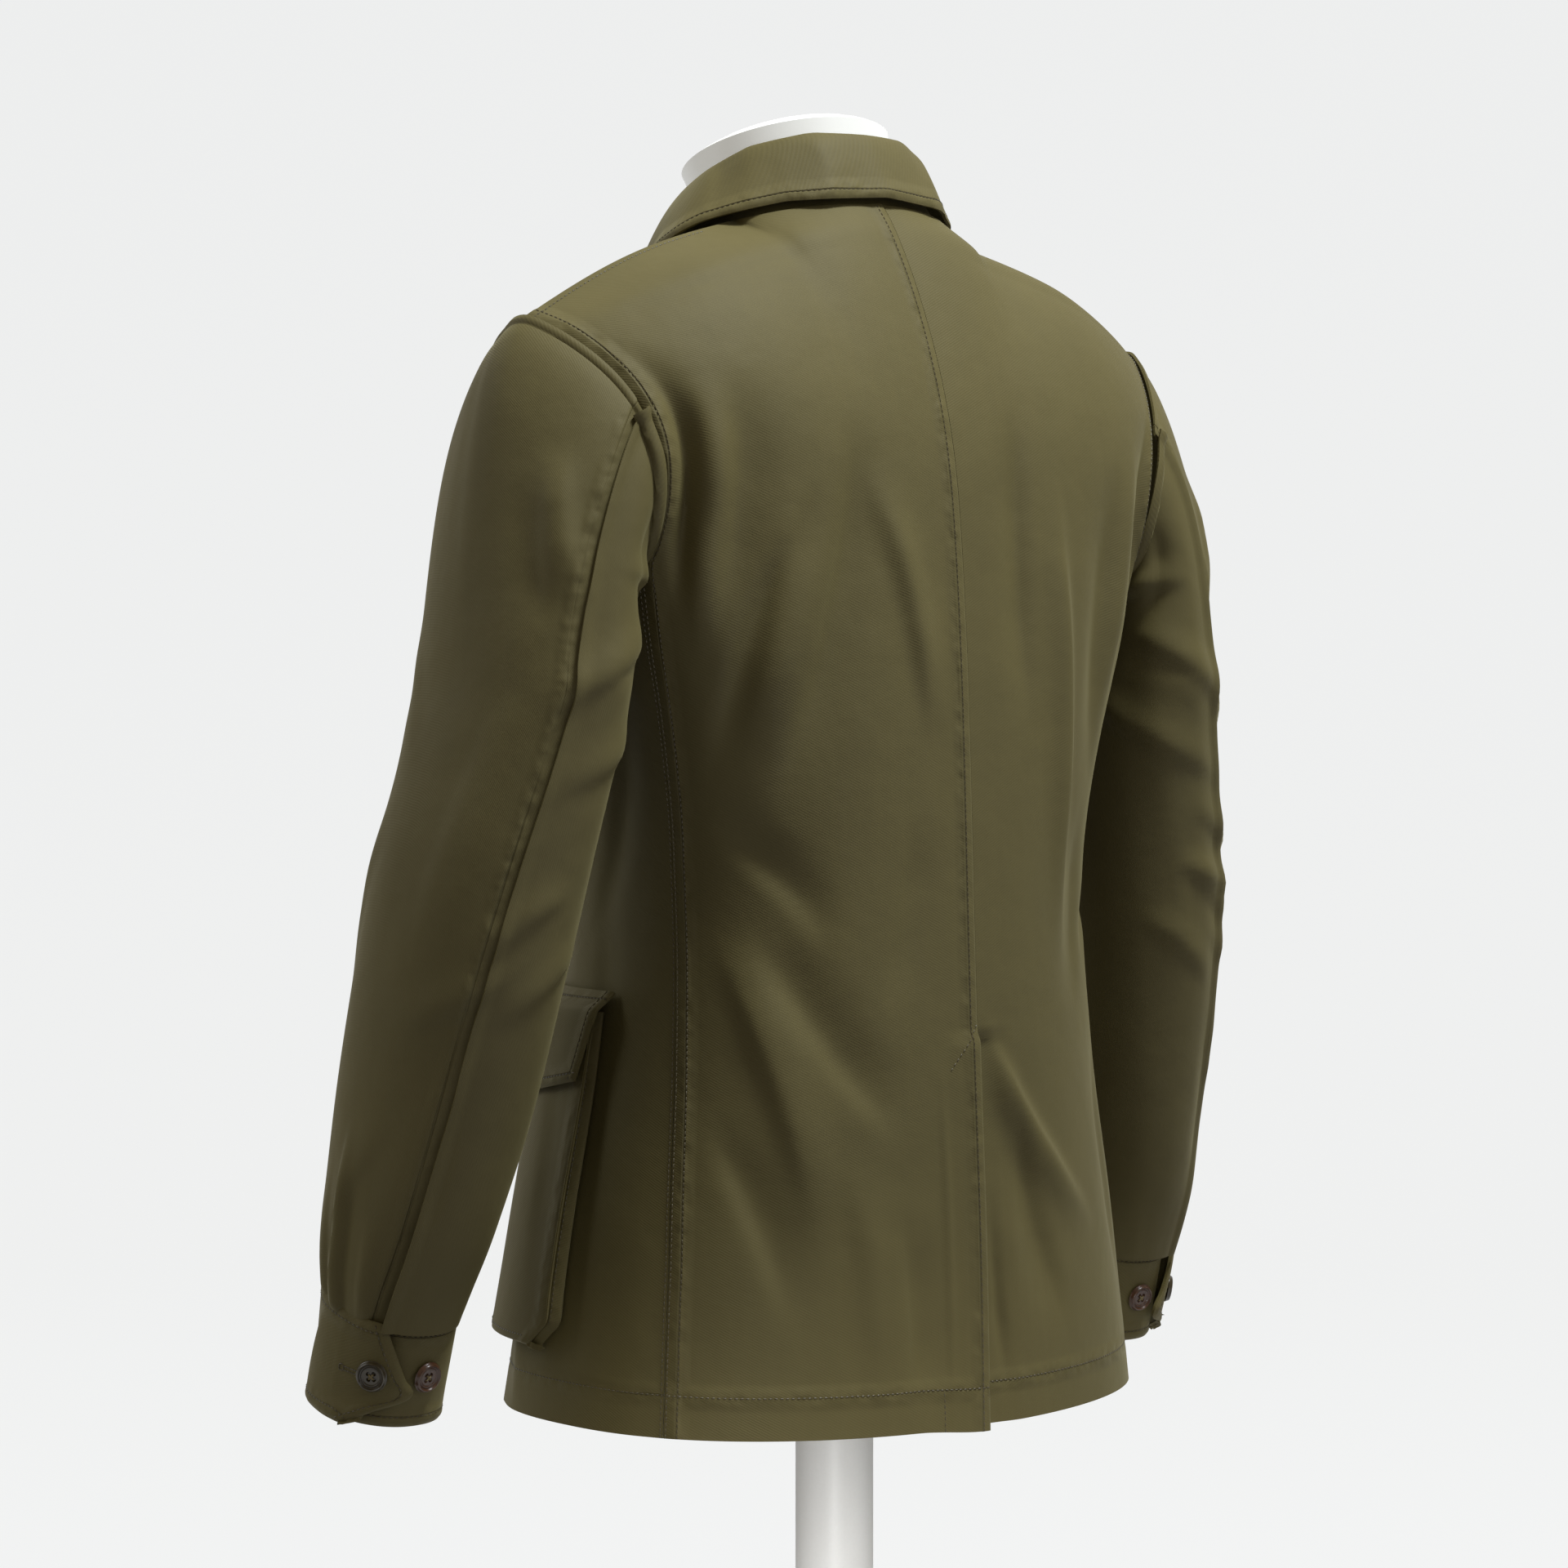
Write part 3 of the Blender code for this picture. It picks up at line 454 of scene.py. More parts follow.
def ways_out(points, faces):
    """Each point's way out of the cloth, from the faces round it."""
    corners = points[faces]
    across = np.cross(corners[:, 2] - corners[:, 0], corners[:, 3] - corners[:, 1])
    ways = np.zeros_like(points)
    for k in range(4):
        np.add.at(ways, faces[:, k], across)
    return ways / np.maximum(np.linalg.norm(ways, axis=1), 1e-15)[:, None]


def run_lengths(points, axis):
    """Distances along the cloth from its first row or column."""
    steps = np.linalg.norm(np.diff(points, axis=axis), axis=2)
    start = np.zeros_like(np.take(steps, [0], axis=axis))
    return np.concatenate((start, np.cumsum(steps, axis=axis)), axis=axis)


# Where a fold starts and ends, in degrees round and metres up; its half width, depth and bow in mm.
Crease = namedtuple("Crease", "around0 height0 around1 height1 width depth bow")


def crease_relief(across, height, metres_each, creases):
    """The height of soft folds over the cloth: each a trough or ridge, steeper on one side."""
    relief = np.zeros_like(height)
    for c in (Crease(*row) for row in creases):
        start = np.array((c.around0 * metres_each, c.height0))
        end = np.array((c.around1 * metres_each, c.height1))
        length = np.linalg.norm(end - start)
        way = (end - start) / length
        dx, dh = across * metres_each - start[0], height - start[1]
        t = (dx * way[0] + dh * way[1]) / length
        off = dx * way[1] - dh * way[0] - c.bow * 0.001 * np.sin(np.pi * np.clip(t, 0, 1))
        wide = c.width * 0.001 * np.where(off > 0, 1.25, 0.62)
        fade = step_up(t, -0.12, 0.35) * step_down(t, 0.6, 1.12)
        relief += c.depth * 0.001 * fade * np.exp(-(off / wide) ** 2)
    return relief * bpy.context.scene.field_jacket.fold_depth


class Cloth:
    """A panel of cloth on a fine grid, with its distances to its own edges."""

    def __init__(self, fine, side=1, present=None, flip=False):
        self.points, self.around, self.height = fine[..., :3].copy(), fine[..., 3], fine[..., 4]
        self.side = side
        self.faces = grid_faces(*self.around.shape, present)
        if flip:
            self.faces = self.faces[:, ::-1]
        self.u, self.v = run_lengths(self.points, 1), run_lengths(self.points, 0)
        self.wall = np.full(self.around.shape, TWILL)
        self.seam = np.full(self.around.shape, 0.05)

    def far(self, edge):
        """Distance over the cloth from one of its edges: first, last, foot or top."""
        return {"first": self.u, "last": self.u[:, -1:] - self.u,
                "foot": self.v, "top": self.v[-1:] - self.v}[edge]

    def raise_by(self, lift):
        flat = self.points.reshape(-1, 3)
        flat += ways_out(flat, self.faces) * np.broadcast_to(lift, self.around.shape).reshape(-1, 1)

    def mark(self, away):
        """Notes a row of stitches, by the distance of every point from it."""
        self.seam = np.minimum(self.seam, away)

    def lap(self, edge, width, lift):
        """A folded seam allowance under one edge, that ends in a soft step."""
        away = self.far(edge)
        self.raise_by(lift * step_down(away, width, width + 0.0022)
                      * (0.35 + 0.65 * step_up(away, -0.0002, 0.0012)))
        self.mark(np.abs(away - width))

    def at(self, row, column):
        """Points and ways out at fractional rows and columns."""
        if not hasattr(self, "out"):
            self.out = ways_out(self.points.reshape(-1, 3), self.faces).reshape(self.points.shape)
        rows, columns = self.around.shape
        r = np.clip(row, 0, rows - 1.001)
        c = np.clip(column, 0, columns - 1.001)
        i, j = r.astype(int), c.astype(int)
        s, t = (r - i)[:, None], (c - j)[:, None]
        return tuple((1 - s) * ((1 - t) * g[i, j] + t * g[i, j + 1])
                     + s * ((1 - t) * g[i + 1, j] + t * g[i + 1, j + 1]) for g in (self.points, self.out))

    def beside(self, edge, distance, start=0.0, end=1.0):
        """A line of points at a distance from one edge, for a share of the edge's length."""
        rows, columns = self.around.shape
        long_way = edge in ("first", "last")
        away = self.far(edge)
        if edge in ("last", "top"):
            away = away[:, ::-1] if long_way else away[::-1]
        count = rows if long_way else columns
        lines = np.linspace(start * (count - 1), end * (count - 1), max(int(abs(end - start) * count), 3))
        spots = []
        for k in lines:
            i = min(int(round(k)), count - 1)
            run = away[i] if long_way else away[:, i]
            spots.append(np.interp(distance, run, np.arange(len(run))))
        spots = np.array(spots)
        if edge == "last":
            spots = columns - 1 - spots
        if edge == "top":
            spots = rows - 1 - spots
        return self.at(lines, spots) if long_way else self.at(spots, lines)

    def path(self, marks):
        """A line over the cloth through marks given as (around, height)."""
        marks = np.array(marks, float)
        last = len(marks) - 1
        steps = np.linspace(0, last, 8 * last + 1)
        marks = np.stack([np.interp(steps, range(last + 1), column) for column in marks.T], axis=1)
        rows, columns = [], []
        for around, height in marks:
            gap = ((self.around - around) * 0.003) ** 2 + (self.height - height) ** 2
            i, j = np.unravel_index(np.argmin(gap), gap.shape)
            rows.append(float(i))
            columns.append(float(j))
        rows, columns = np.array(rows), np.array(columns)
        if len(rows) > 4:
            ease = np.array((1, 2, 3, 2, 1)) / 9
            for line in (rows, columns):
                padded = np.concatenate((line[:1], line[:1], line, line[-1:], line[-1:]))
                line[1:-1] = np.convolve(padded, ease, "valid")[1:-1]
        return self.at(rows, columns)


def panel(base, rows, columns, side=1, flip=False, crowd=0.5):
    """A cloth from a coarse grid of points, each with its place, on smooth curves through them."""
    base = np.asarray(base, float)
    fine = between(base, places(rows, len(base) - 1, crowd), 0)
    return Cloth(between(fine, places(columns, base.shape[1] - 1, crowd), 1), side, None, flip)


def mesh_of(clothes):
    """Corners, faces, cloth coordinates and seam distances of one or more panels with their walls."""
    corners, faces, spread, seams, count = [], [], [], [], 0
    for cloth in clothes:
        flat = cloth.points.reshape(-1, 3)
        out = ways_out(flat, cloth.faces)
        inner = flat - out * cloth.wall.reshape(-1, 1)
        used, index = np.unique(cloth.faces, return_inverse=True)
        quads = index.reshape(-1, 4)
        n = len(used)
        sides = np.concatenate([quads[:, [k, (k + 1) % 4]] for k in range(4)])
        keys = sides[:, 0] * n + sides[:, 1]
        alone = sides[~np.isin(sides[:, 1] * n + sides[:, 0], keys)]
        rim = np.stack((alone[:, 1], alone[:, 0], alone[:, 0] + n, alone[:, 1] + n), axis=1)
        part = np.concatenate((flat[used], inner[used])) * (cloth.side, 1, 1)
        quads = np.concatenate((quads, quads[:, ::-1] + n, rim))
        if cloth.side < 0:
            quads = quads[:, ::-1]
        corners.append(part)
        faces.append(quads + count)
        flat_place = np.stack((cloth.u.reshape(-1), cloth.v.reshape(-1)), axis=1)[used]
        spread.append(np.concatenate((flat_place, flat_place)))
        seams.append(np.tile(cloth.seam.reshape(-1)[used], 2))
        count += 2 * n
    return [np.concatenate(part) for part in (corners, faces, spread, seams)]


def make_object(name, corners, faces, look, smooth=50):
    """A mesh object in the scene, lifted to the hem's height, riding on the jacket's body."""
    mesh = bpy.data.meshes.new(name)
    mesh.from_pydata(np.asarray(corners, float) + (0, 0, HEM), [], [tuple(f) for f in faces])
    mesh.update()
    mesh.shade_smooth()
    mesh.set_sharp_from_angle(angle=math.radians(smooth))
    obj = bpy.data.objects.new(name, mesh)
    mesh.materials.append(look)
    bpy.context.scene.collection.objects.link(obj)
    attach(obj, "root")
    return obj


def make_cloth(name, *clothes):
    """A named piece of cloth that takes the place of the solid of the same name."""
    corners, faces, spread, seams = mesh_of(clothes)
    obj = make_object(name + "_cloth", corners, faces, looks()["twill"])
    place = obj.data.uv_layers.new(name="cloth")
    loops = np.empty(len(obj.data.loops), np.int32)
    obj.data.loops.foreach_get("vertex_index", loops)
    place.data.foreach_set("uv", spread[loops].astype(np.float32).ravel())
    near = obj.data.attributes.new("seam_distance", "FLOAT", "POINT")
    near.data.foreach_set("value", seams.astype(np.float32))
    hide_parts(name)
    return obj


# Sewing thread --------------------------------------------------------------------------------

def stitches(lines, side, pitch, length=0.0023, thick=0.00036):
    """Corners and faces of a row of stitches along each line, each dipping into the cloth."""
    corners, faces = [], []
    rings = ((0.0, -0.6, 0.45), (0.2, 0.30, 1.0), (0.8, 0.30, 1.0), (1.0, -0.6, 0.45))
    around = 4
    for points, out in lines:
        run = np.concatenate(([0], np.cumsum(np.linalg.norm(np.diff(points, axis=0), axis=1))))

        def at(places, values):
            return np.stack([np.interp(places, run, column) for column in values.T], axis=1)

        count = max(int(run[-1] / pitch), 1)
        starts = np.arange(count) * run[-1] / count
        stack = []
        for share, rise, wide in rings:
            here = starts + length * share
            spot, up = at(here, points), at(here, out)
            ahead = at(here + 0.001, points) - at(here - 0.001, points)
            wise = np.cross(ahead, up)
            wise /= np.maximum(np.linalg.norm(wise, axis=1), 1e-12)[:, None]
            for k in range(around):
                turn = 2 * math.pi * k / around
                stack.append(spot + up * thick * (rise + wide * math.sin(turn))
                             + wise * thick * wide * math.cos(turn))
        stack = np.array(stack).transpose(1, 0, 2)
        base = len(corners) and sum(len(c) for c in corners)
        corners.append(stack.reshape(-1, 3))
        one = [[r * around + k, r * around + (k + 1) % around, (r + 1) * around + (k + 1) % around,
                (r + 1) * around + k] for r in range(len(rings) - 1) for k in range(around)]
        one += [[3, 2, 1, 0], [12, 13, 14, 15]]
        faces.append((np.arange(count)[:, None, None] * 16 + np.array(one)[None]).reshape(-1, 4) + base)
    return np.concatenate(corners) * (side, 1, 1), np.concatenate(faces)[:, ::side]


def make_thread(name, sets, look="thread"):
    """All the stitches of a group of pieces, as one object."""
    corners, faces, count = [], [], 0
    pitch = bpy.context.scene.field_jacket.stitch_pitch
    for lines, side, sizes in sets:
        more, quads = stitches(lines, side, **{"pitch": pitch, **sizes})
        corners.append(more)
        faces.append(quads + count)
        count += len(more)
    return make_object(name, np.concatenate(corners), np.concatenate(faces), looks()[look], 60)


# Body panels ----------------------------------------------------------------------------------

TURN = 0.0030          # metres of cloth for each degree round the body
SLEEVE_TURN = 0.0009   # the same round a sleeve
LEFT_BACK_CREASES = [
    (66, 0.580, 66, 0.455, 9, -4.4, 2), (61, 0.560, 63, 0.430, 10, 2.8, -2),
    (54, 0.570, 60, 0.430, 14, -2.6, 3), (46, 0.500, 56, 0.380, 13, 2.2, 3),
    (43, 0.505, 63, 0.365, 11, -2.6, -4), (31, 0.540, 50, 0.345, 17, -3.2, 6),
    (27, 0.520, 13, 0.385, 14, 2.4, 4), (18, 0.330, 26, 0.230, 18, -1.2, 3),
    (64, 0.330, 40, 0.270, 12, -1.5, 4), (62, 0.262, 42, 0.115, 15, 2.3, 6),
    (55, 0.270, 24, 0.165, 16, -2.2, -5), (62, 0.165, 46, 0.060, 13, -1.7, 4),
    (34, 0.140, 30, 0.015, 16, 1.5, 4), (22, 0.110, 19, 0.010, 13, -1.2, 2),
    (12, 0.190, 10.5, 0.005, 4, 0.7, 0),
]
RIGHT_BACK_CREASES = [
    (22, 0.560, 21, 0.390, 15, -2.3, 3), (33, 0.510, 34, 0.270, 10, 2.7, -3),
    (51, 0.520, 48, 0.360, 12, -2.6, 3), (58, 0.545, 53, 0.400, 9, 1.8, 2),
    (66, 0.560, 66, 0.440, 9, -3.0, 2), (44, 0.330, 38, 0.225, 14, -1.6, -3),
    (2, 0.215, 36, 0.105, 12, 2.7, 6), (10, 0.175, 26, 0.050, 15, -1.9, 5),
    (3, 0.115, 7, 0.020, 8, -1.9, 1), (52, 0.200, 58, 0.050, 12, -1.5, 3),
    (64, 0.290, 46, 0.255, 10, -1.2, 2),
]
FRONT_CREASES = [
    (112, 0.50, 150, 0.36, 10, -2.0, 4),
    (108, 0.44, 140, 0.30, 12, -1.5, -4),
    (82, 0.40, 100, 0.27, 10, -1.4, 3),
    (150, 0.58, 160, 0.30, 15, 1.3, 5),
    (128, 0.56, 134, 0.40, 10, -1.3, 3),
    (165, 0.15, 158, 0.00, 12, -1.3, 3),
    (112, 0.10, 106, 0.00, 9, 1.2, 2),
    (97, 0.30, 93, 0.02, 13, -1.3, 4),
]


def with_place(point, around, height):
    return np.concatenate((point, (around, height)))


def evened_rows(base, middle, keep):
    """Eases the rows round the chest line, more where keep is low, so that no ledge is left there."""
    base = np.array(base)
    rows = np.arange(1, len(base) - 1)
    weight = 0.8 * bell(rows, middle, 3.0)[:, None, None] * (1 - keep)[None, :, None]
    for _ in range(10):
        base[1:-1] += ((base[:-2] + base[2:]) / 2 - base[1:-1]) * weight
    return base


def back_cloth(side):
    """One back, from the centre line to the side seam and armhole."""
    shares = np.concatenate((np.linspace(0, NECK_SHARE, 9), np.linspace(NECK_SHARE, 1, 13)[1:]))
    gap = math.degrees(SEAM_GAP / 2 / 0.17)
    base = []
    for height in np.linspace(0, CHEST, 21):
        row = [side_seam(height) * c + gap * (1 - 2 * c) for c in shares]
        base.append([with_place(round_body(a, hem_dip(a, height)), a, height) for a in row])
    for rise in np.linspace(0, 1, 17)[1:]:
        row = [upper_point(c, rise, False, side_seam(CHEST), CHEST) for c in shares]
        base.append([with_place(p, side_seam(CHEST) * c, p[2]) for p, c in zip(row, shares)])
        base[-1][0][0] += SEAM_GAP / 2
        base[-1][-1][0] -= SEAM_GAP / 2
    base = evened_rows(base, 20, shares ** 3)
    cloth = panel(base, 240, 100, side, flip=True)
    creases = LEFT_BACK_CREASES if side > 0 else RIGHT_BACK_CREASES
    cloth.raise_by(crease_relief(cloth.around, cloth.height, TURN, creases)
                   * step_up(cloth.far("first"), 0.0, 0.02) * step_up(cloth.far("last"), 0.0, 0.012)
                   * step_up(cloth.far("top"), 0.0, 0.03))
    below = step_up(VENT_TOP - cloth.height, 0.0, 0.006)
    if side > 0:
        cloth.lap("first", 0.0058, 0.0008)
        cloth.points[..., 1] += 0.0024 * below * step_down(cloth.u, 0.004, 0.03)
        cloth.points[..., 2] -= 0.0028 * step_down(cloth.u, 0.004, 0.05) * step_down(cloth.height, 0.0, 0.05)
    else:
        cloth.points[..., 1] -= LAP * below * step_down(cloth.u, 0.004, 0.028)
    cloth.lap("last", 0.0070, 0.0006)
    hem_fold(cloth)
    return cloth


def hem_fold(cloth):
    """The turned-up hem: a thicker wall that ends at the row of stitches."""
    away = cloth.far("foot")
    cloth.wall += 0.0008 * step_down(away, 0.022, 0.024)
    cloth.raise_by(-0.0004 * bell(away, HEM_STITCH, 0.0022))
    cloth.mark(np.abs(away - HEM_STITCH))


def vent_underlap():
    """The strip of the right back that runs on under the left at the vent."""
    reach = math.degrees(UNDERLAP / 0.128)
    base = []
    for height in np.linspace(0, VENT_TOP + 0.004, 8):
        row = [-2.0 + (-reach + 2.0) * c for c in np.linspace(1, 0, 5)]
        row += [0.6]
        base.append([with_place(round_body(a, hem_dip(a, height)) - (0, LAP, 0), a, height) for a in row])
    cloth = panel(base, 60, 24, -1, flip=True)
    hem_fold(cloth)
    return cloth


def front_cloth(side):
    """One front, from the side seam round to the lap at the centre front. The left laps over."""
    chest = np.concatenate((np.linspace(1, NECK_SHARE, 13), np.linspace(NECK_SHARE, 0, 9)[1:]))
    gap = math.degrees(SEAM_GAP / 2 / 0.17)
    under, base = [], []
    lower = np.linspace(0, CHEST, 21)
    for height in lower:
        seam, edge = side_seam(height) + gap, np.interp(height, (0, CHEST), (116, FRONT_EDGE))
        row = []
        for c in np.linspace(0, 1, 8):
            angle = seam + (edge - seam) * c
            level = hem_dip(angle, armhole_floor(c)[2] * height / CHEST)
            row.append(with_place(round_body(angle, level), angle, level))
        under.append(row)
        base.append([with_place(round_body(180 + (edge - 180) * c, height), 180 + (edge - 180) * c, height)
                     for c in chest])
    for rise in np.linspace(0, 1, 17)[1:]:
        row = [upper_point(c, rise, True, FRONT_EDGE, CHEST) for c in chest]
        base.append([with_place(p, 180 + (FRONT_EDGE - 180) * c, p[2]) for p, c in zip(row, chest)])
        base[-1][0][0] -= SEAM_GAP / 2
    base = evened_rows(base, 20, chest ** 3)
    lap = base[:, -1:].repeat(2, axis=1)
    lap[..., 0] -= FRONT_LAP * np.array((0.5, 1))
    lap[..., 3] += FRONT_LAP / TURN * np.array((0.5, 1))
    base = np.concatenate((base, lap), axis=1)
    rows = places(190, len(base) - 1)
    low = rows <= len(lower) - 1
    fine = between(between(base, rows, 0), places(84, base.shape[1] - 1), 1)
    more = between(between(np.array(under), rows[low], 0), places(34, 7, 0.3), 1)
    more[:, -1] = fine[low][:, 0]
    filler = fine[~low][:, :1].repeat(33, axis=1)
    fine = np.concatenate((np.concatenate((more[:, :-1], filler)), fine), axis=1)
    present = np.ones((fine.shape[0] - 1, fine.shape[1] - 1), bool)
    present[low.sum() - 1:, :33] = False
    cloth = Cloth(fine, side, present, True)
    edge = cloth.far("last")
    cloth.raise_by(crease_relief(cloth.around, cloth.height, TURN, FRONT_CREASES)
                   * step_up(edge, 0.01, 0.04) * step_up(cloth.far("top"), 0.0, 0.03)
                   * np.where(low[:, None], step_up(cloth.u, 0.0, 0.012), 1))
    over = 1 - step_up(edge, 0.020, 0.045)
    cloth.points[..., 1] -= (LAP * 1.1 if side > 0 else -0.0012) * over
    if side > 0:
        cloth.lap("last", 0.006, 0.0007)
    hem_fold(cloth)
    return cloth


@lru_cache(maxsize=None)
def body_panels():
    """The four body panels, kept so that thread and trim can follow them."""
    return {"back_left": back_cloth(1), "back_right": back_cloth(-1),
            "front_left": front_cloth(1), "front_right": front_cloth(-1)}


def body_seams():
    """Every row of stitches on the body."""
    sets = []
    for name, cloth in body_panels().items():
        lines = [cloth.beside("foot", HEM_STITCH)]
        if name == "back_left":
            stop = VENT_TOP / 0.69
            lines += [cloth.beside("first", 0.0052, 0.0, 1.0),
                      cloth.path([(0.6, VENT_TOP + 0.002), (9.5, VENT_TOP - 0.020)]),
                      cloth.beside("first", 0.031, 0.0, stop * 0.16)]
        if name.startswith("back"):
            lines += [cloth.beside("last", 0.0075), cloth.beside("last", 0.0012, 0.0, 0.66),
                      cloth.beside("top", 0.0045, 0.5, 1.0)]
        if name.startswith("front"):
            lines += [cloth.beside("last", 0.006), cloth.beside("first", 0.0015, 0.0, 0.62)]
        sets.append((lines, cloth.side, {}))
    return sets


# Sleeves --------------------------------------------------------------------------------------

VENT_H = 0.144          # the top of the sleeve's opening above the cuff
SLEEVE_CREASES = [
    (40, 0.530, 64, 0.455, 9, -3.0, 2), (33, 0.520, 52, 0.440, 8, 1.6, 2),
    (165, 0.452, 88, 0.470, 7, -3.0, 2), (100, 0.500, 112, 0.440, 7, 2.2, 2),
    (118, 0.440, 62, 0.395, 9, -2.4, 2), (150, 0.405, 70, 0.350, 9, -1.8, -2),
    (95, 0.30, 58, 0.262, 8, -1.7, 2), (80, 0.262, 20, 0.225, 10, -1.3, -3),
    (120, 0.268, 78, 0.230, 8, -1.6, 2), (30, 0.40, 10, 0.27, 14, 1.2, 3),
    (66, 0.215, 40, 0.115, 10, -1.2, 3), (20, 0.17, -30, 0.10, 13, -1.4, 3),
    (-40, 0.34, -64, 0.235, 11, -1.6, 3), (200, 0.31, 262, 0.255, 9, -1.9, 3),
    (230, 0.42, 275, 0.36, 9, -1.7, 2), (180, 0.25, 240, 0.20, 9, -1.3, -3),
    (-60, 0.44, -20, 0.36, 12, -1.2, 3), (140, 0.17, 175, 0.09, 10, -1.2, 3),
    (-5, 0.040, -9, 0.165, 4.4, -2.7, 1), (4, 0.045, 3, 0.140, 6, 1.1, 1),
    (-20, 0.050, -24, 0.150, 7, 1.2, 1), (25, 0.060, 22, 0.120, 6, -1.0, 1),
]
RIGHT_CREASES = [
    (100, 0.30, 40, 0.272, 7, -1.6, 2), (92, 0.335, 30, 0.30, 8, -1.5, -2),
    (75, 0.40, 30, 0.37, 9, -1.3, 2), (60, 0.18, 10, 0.12, 10, -1.3, 3),
]


def sleeve_cloth(side, top):
    """The top sleeve or the under sleeve, from the armhole to the cuff."""
    rows = [(True, t) for t in np.linspace(0, 1, 11)[:-1]]
    rows += [(False, h) for h in np.linspace(CAP_RING, CUFF_TOP - 0.003, 17)]
    base = []
    for in_head, place in rows:
        row = read(SLEEVE, CAP_RING if in_head else place)
        hind = row.hind_seam
        if in_head:
            hind = HIND_SEAM_START + (hind - HIND_SEAM_START) * place
        gape = 0 if side > 0 or in_head else 11 * float(step_up(VENT_H - place, 0.0, 0.075))
        ends = (FRONT_SEAM - 360, hind - 0.15 * gape) if top else (hind + gape - 2.0, FRONT_SEAM)
        line = []
        for angle in np.linspace(ends[0] + SEAM_ANGLE, ends[1] - SEAM_ANGLE, 17 if top else 13):
            point = head_point(angle, place) if in_head else ring_point(row, angle)
            line.append(with_place(point, angle, point[2]))
        base.append(line)
    base = np.array(base)
    base[..., :3] = hang(base[..., :3], side) * (side, 1, 1)
    cloth = panel(base, 190, 84 if top else 62, side, crowd=0.35)
    creases = SLEEVE_CREASES + (RIGHT_CREASES if side < 0 else [])
    ends = step_up(cloth.far("foot"), 0, 0.012) * step_up(cloth.far("top"), -0.004, 0.004)
    cloth.raise_by(0.65 * crease_relief(cloth.around, cloth.height, SLEEVE_TURN, creases) * ends)
    cloth.raise_by(-0.0018 * step_down(cloth.far("foot"), 0.0024, 0.0044))
    if not top:
        cloth.raise_by(-1.15 * LAP * step_down(cloth.around, 95, 170)
                       * step_down(cloth.far("foot"), 0.0024, 0.0085))
    gathers = np.exp(-(cloth.far("top") / 0.030) ** 2) * step_up(cloth.far("top"), 0, 0.006)
    folds = sum(bell(cloth.around, a, 5.0) for a in ((30, 2, -30) if top else (110, 150, 215)))
    cloth.raise_by(-0.0010 * gathers * folds)
    open_part = step_up(VENT_H - cloth.height, 0.0, 0.05)
    if top:
        cloth.lap("last", 0.0075, 0.0007)
        lift = 0.0022 if side > 0 else 0.0006
        cloth.raise_by(lift * open_part * step_down(cloth.far("last"), 0.0, 0.022))
    else:
        cloth.raise_by((-TWILL - 0.0003) * step_down(cloth.far("first"), 0.0018, 0.0065))
        cloth.raise_by(-0.0018 * open_part * step_down(cloth.far("first"), 0.0, 0.020))
    return cloth


@lru_cache(maxsize=None)
def sleeve_panels():
    return {f"sleeve_{kind}_{word}": sleeve_cloth(side, kind == "top")
            for side, word in ((1, "left"), (-1, "right")) for kind in ("top", "under")}


def hind_angle(height):
    return read(SLEEVE, height).hind_seam


def sleeve_seams():
    sets = []
    for name, cloth in sleeve_panels().items():
        lines = []
        if "top" in name:
            lines = [cloth.beside("last", 0.0072), cloth.beside("last", 0.0010),
                     cloth.path([(hind_angle(VENT_H) - 8.5, VENT_H), (hind_angle(VENT_H), VENT_H)])]
        else:
            lines = [cloth.beside("first", 0.0035, 0.80, 1.0)]
        sets.append((lines, cloth.side, {}))
    return sets


def cuff_cloth(side):
    """One band round the wrist, its pointed tab lapped over its other end."""
    base = []
    for drop in (0, 0.16, 0.33, 0.5, TIP_DROP, 0.84, 1):
        end = np.interp(drop, (0, TIP_DROP, 1), (TAB_TOP, TAB_TIP, TAB_FOOT))
        angles = [end, end + (TAB_ROOT - end) * 0.34, end + (TAB_ROOT - end) * 0.67]
        angles += list(np.linspace(TAB_ROOT, UNDERLAP_END, 40))
        lifts = np.interp(angles, (UNDERLAP_END, -265, -190), (-LAP * 1.15, -LAP * 1.15, 0)) + 0.0008
        base.append([with_place(cuff_point(a, drop, lift), a, drop) for a, lift in zip(angles, lifts)])
    base = np.array(base)
    base[..., :3] = hang(base[..., :3], side) * (side, 1, 1)
    cloth = panel(base, 40, 190, side, crowd=0.3)
    cloth.wall[:] = CUFF_CLOTH
    edges = np.minimum(np.minimum(cloth.far("foot"), cloth.far("top")), cloth.far("first"))
    cloth.raise_by(0.0012 - 0.0008 * step_down(edges, 0, 0.0020) + 0.0003 * bell(edges, 0.003, 0.002))
    cloth.raise_by(-0.0002 * bell(edges, CUFF_STITCH, 0.0012))
    tab_lift, tab_reach = (0.0018, 0.030) if side > 0 else (0.0042, 0.040)
    cloth.raise_by(tab_lift * step_down(cloth.far("first"), 0.002, tab_reach))
    cloth.mark(np.abs(edges - CUFF_STITCH))
    waves = crease_relief(cloth.around, (1 - cloth.height) * 0.061, SLEEVE_TURN,
                          [(-30, 0.055, -60, 0.01, 9, -0.8, 1), (-110, 0.05, -120, 0.01, 10, -0.8, 1),
                           (-200, 0.05, -215, 0.0, 9, -0.9, 1)])
    cloth.raise_by(waves)
    return cloth


@lru_cache(maxsize=None)
def cuff_bands():
    return {"cuff_left": cuff_cloth(1), "cuff_right": cuff_cloth(-1)}


# Collar ---------------------------------------------------------------------------------------

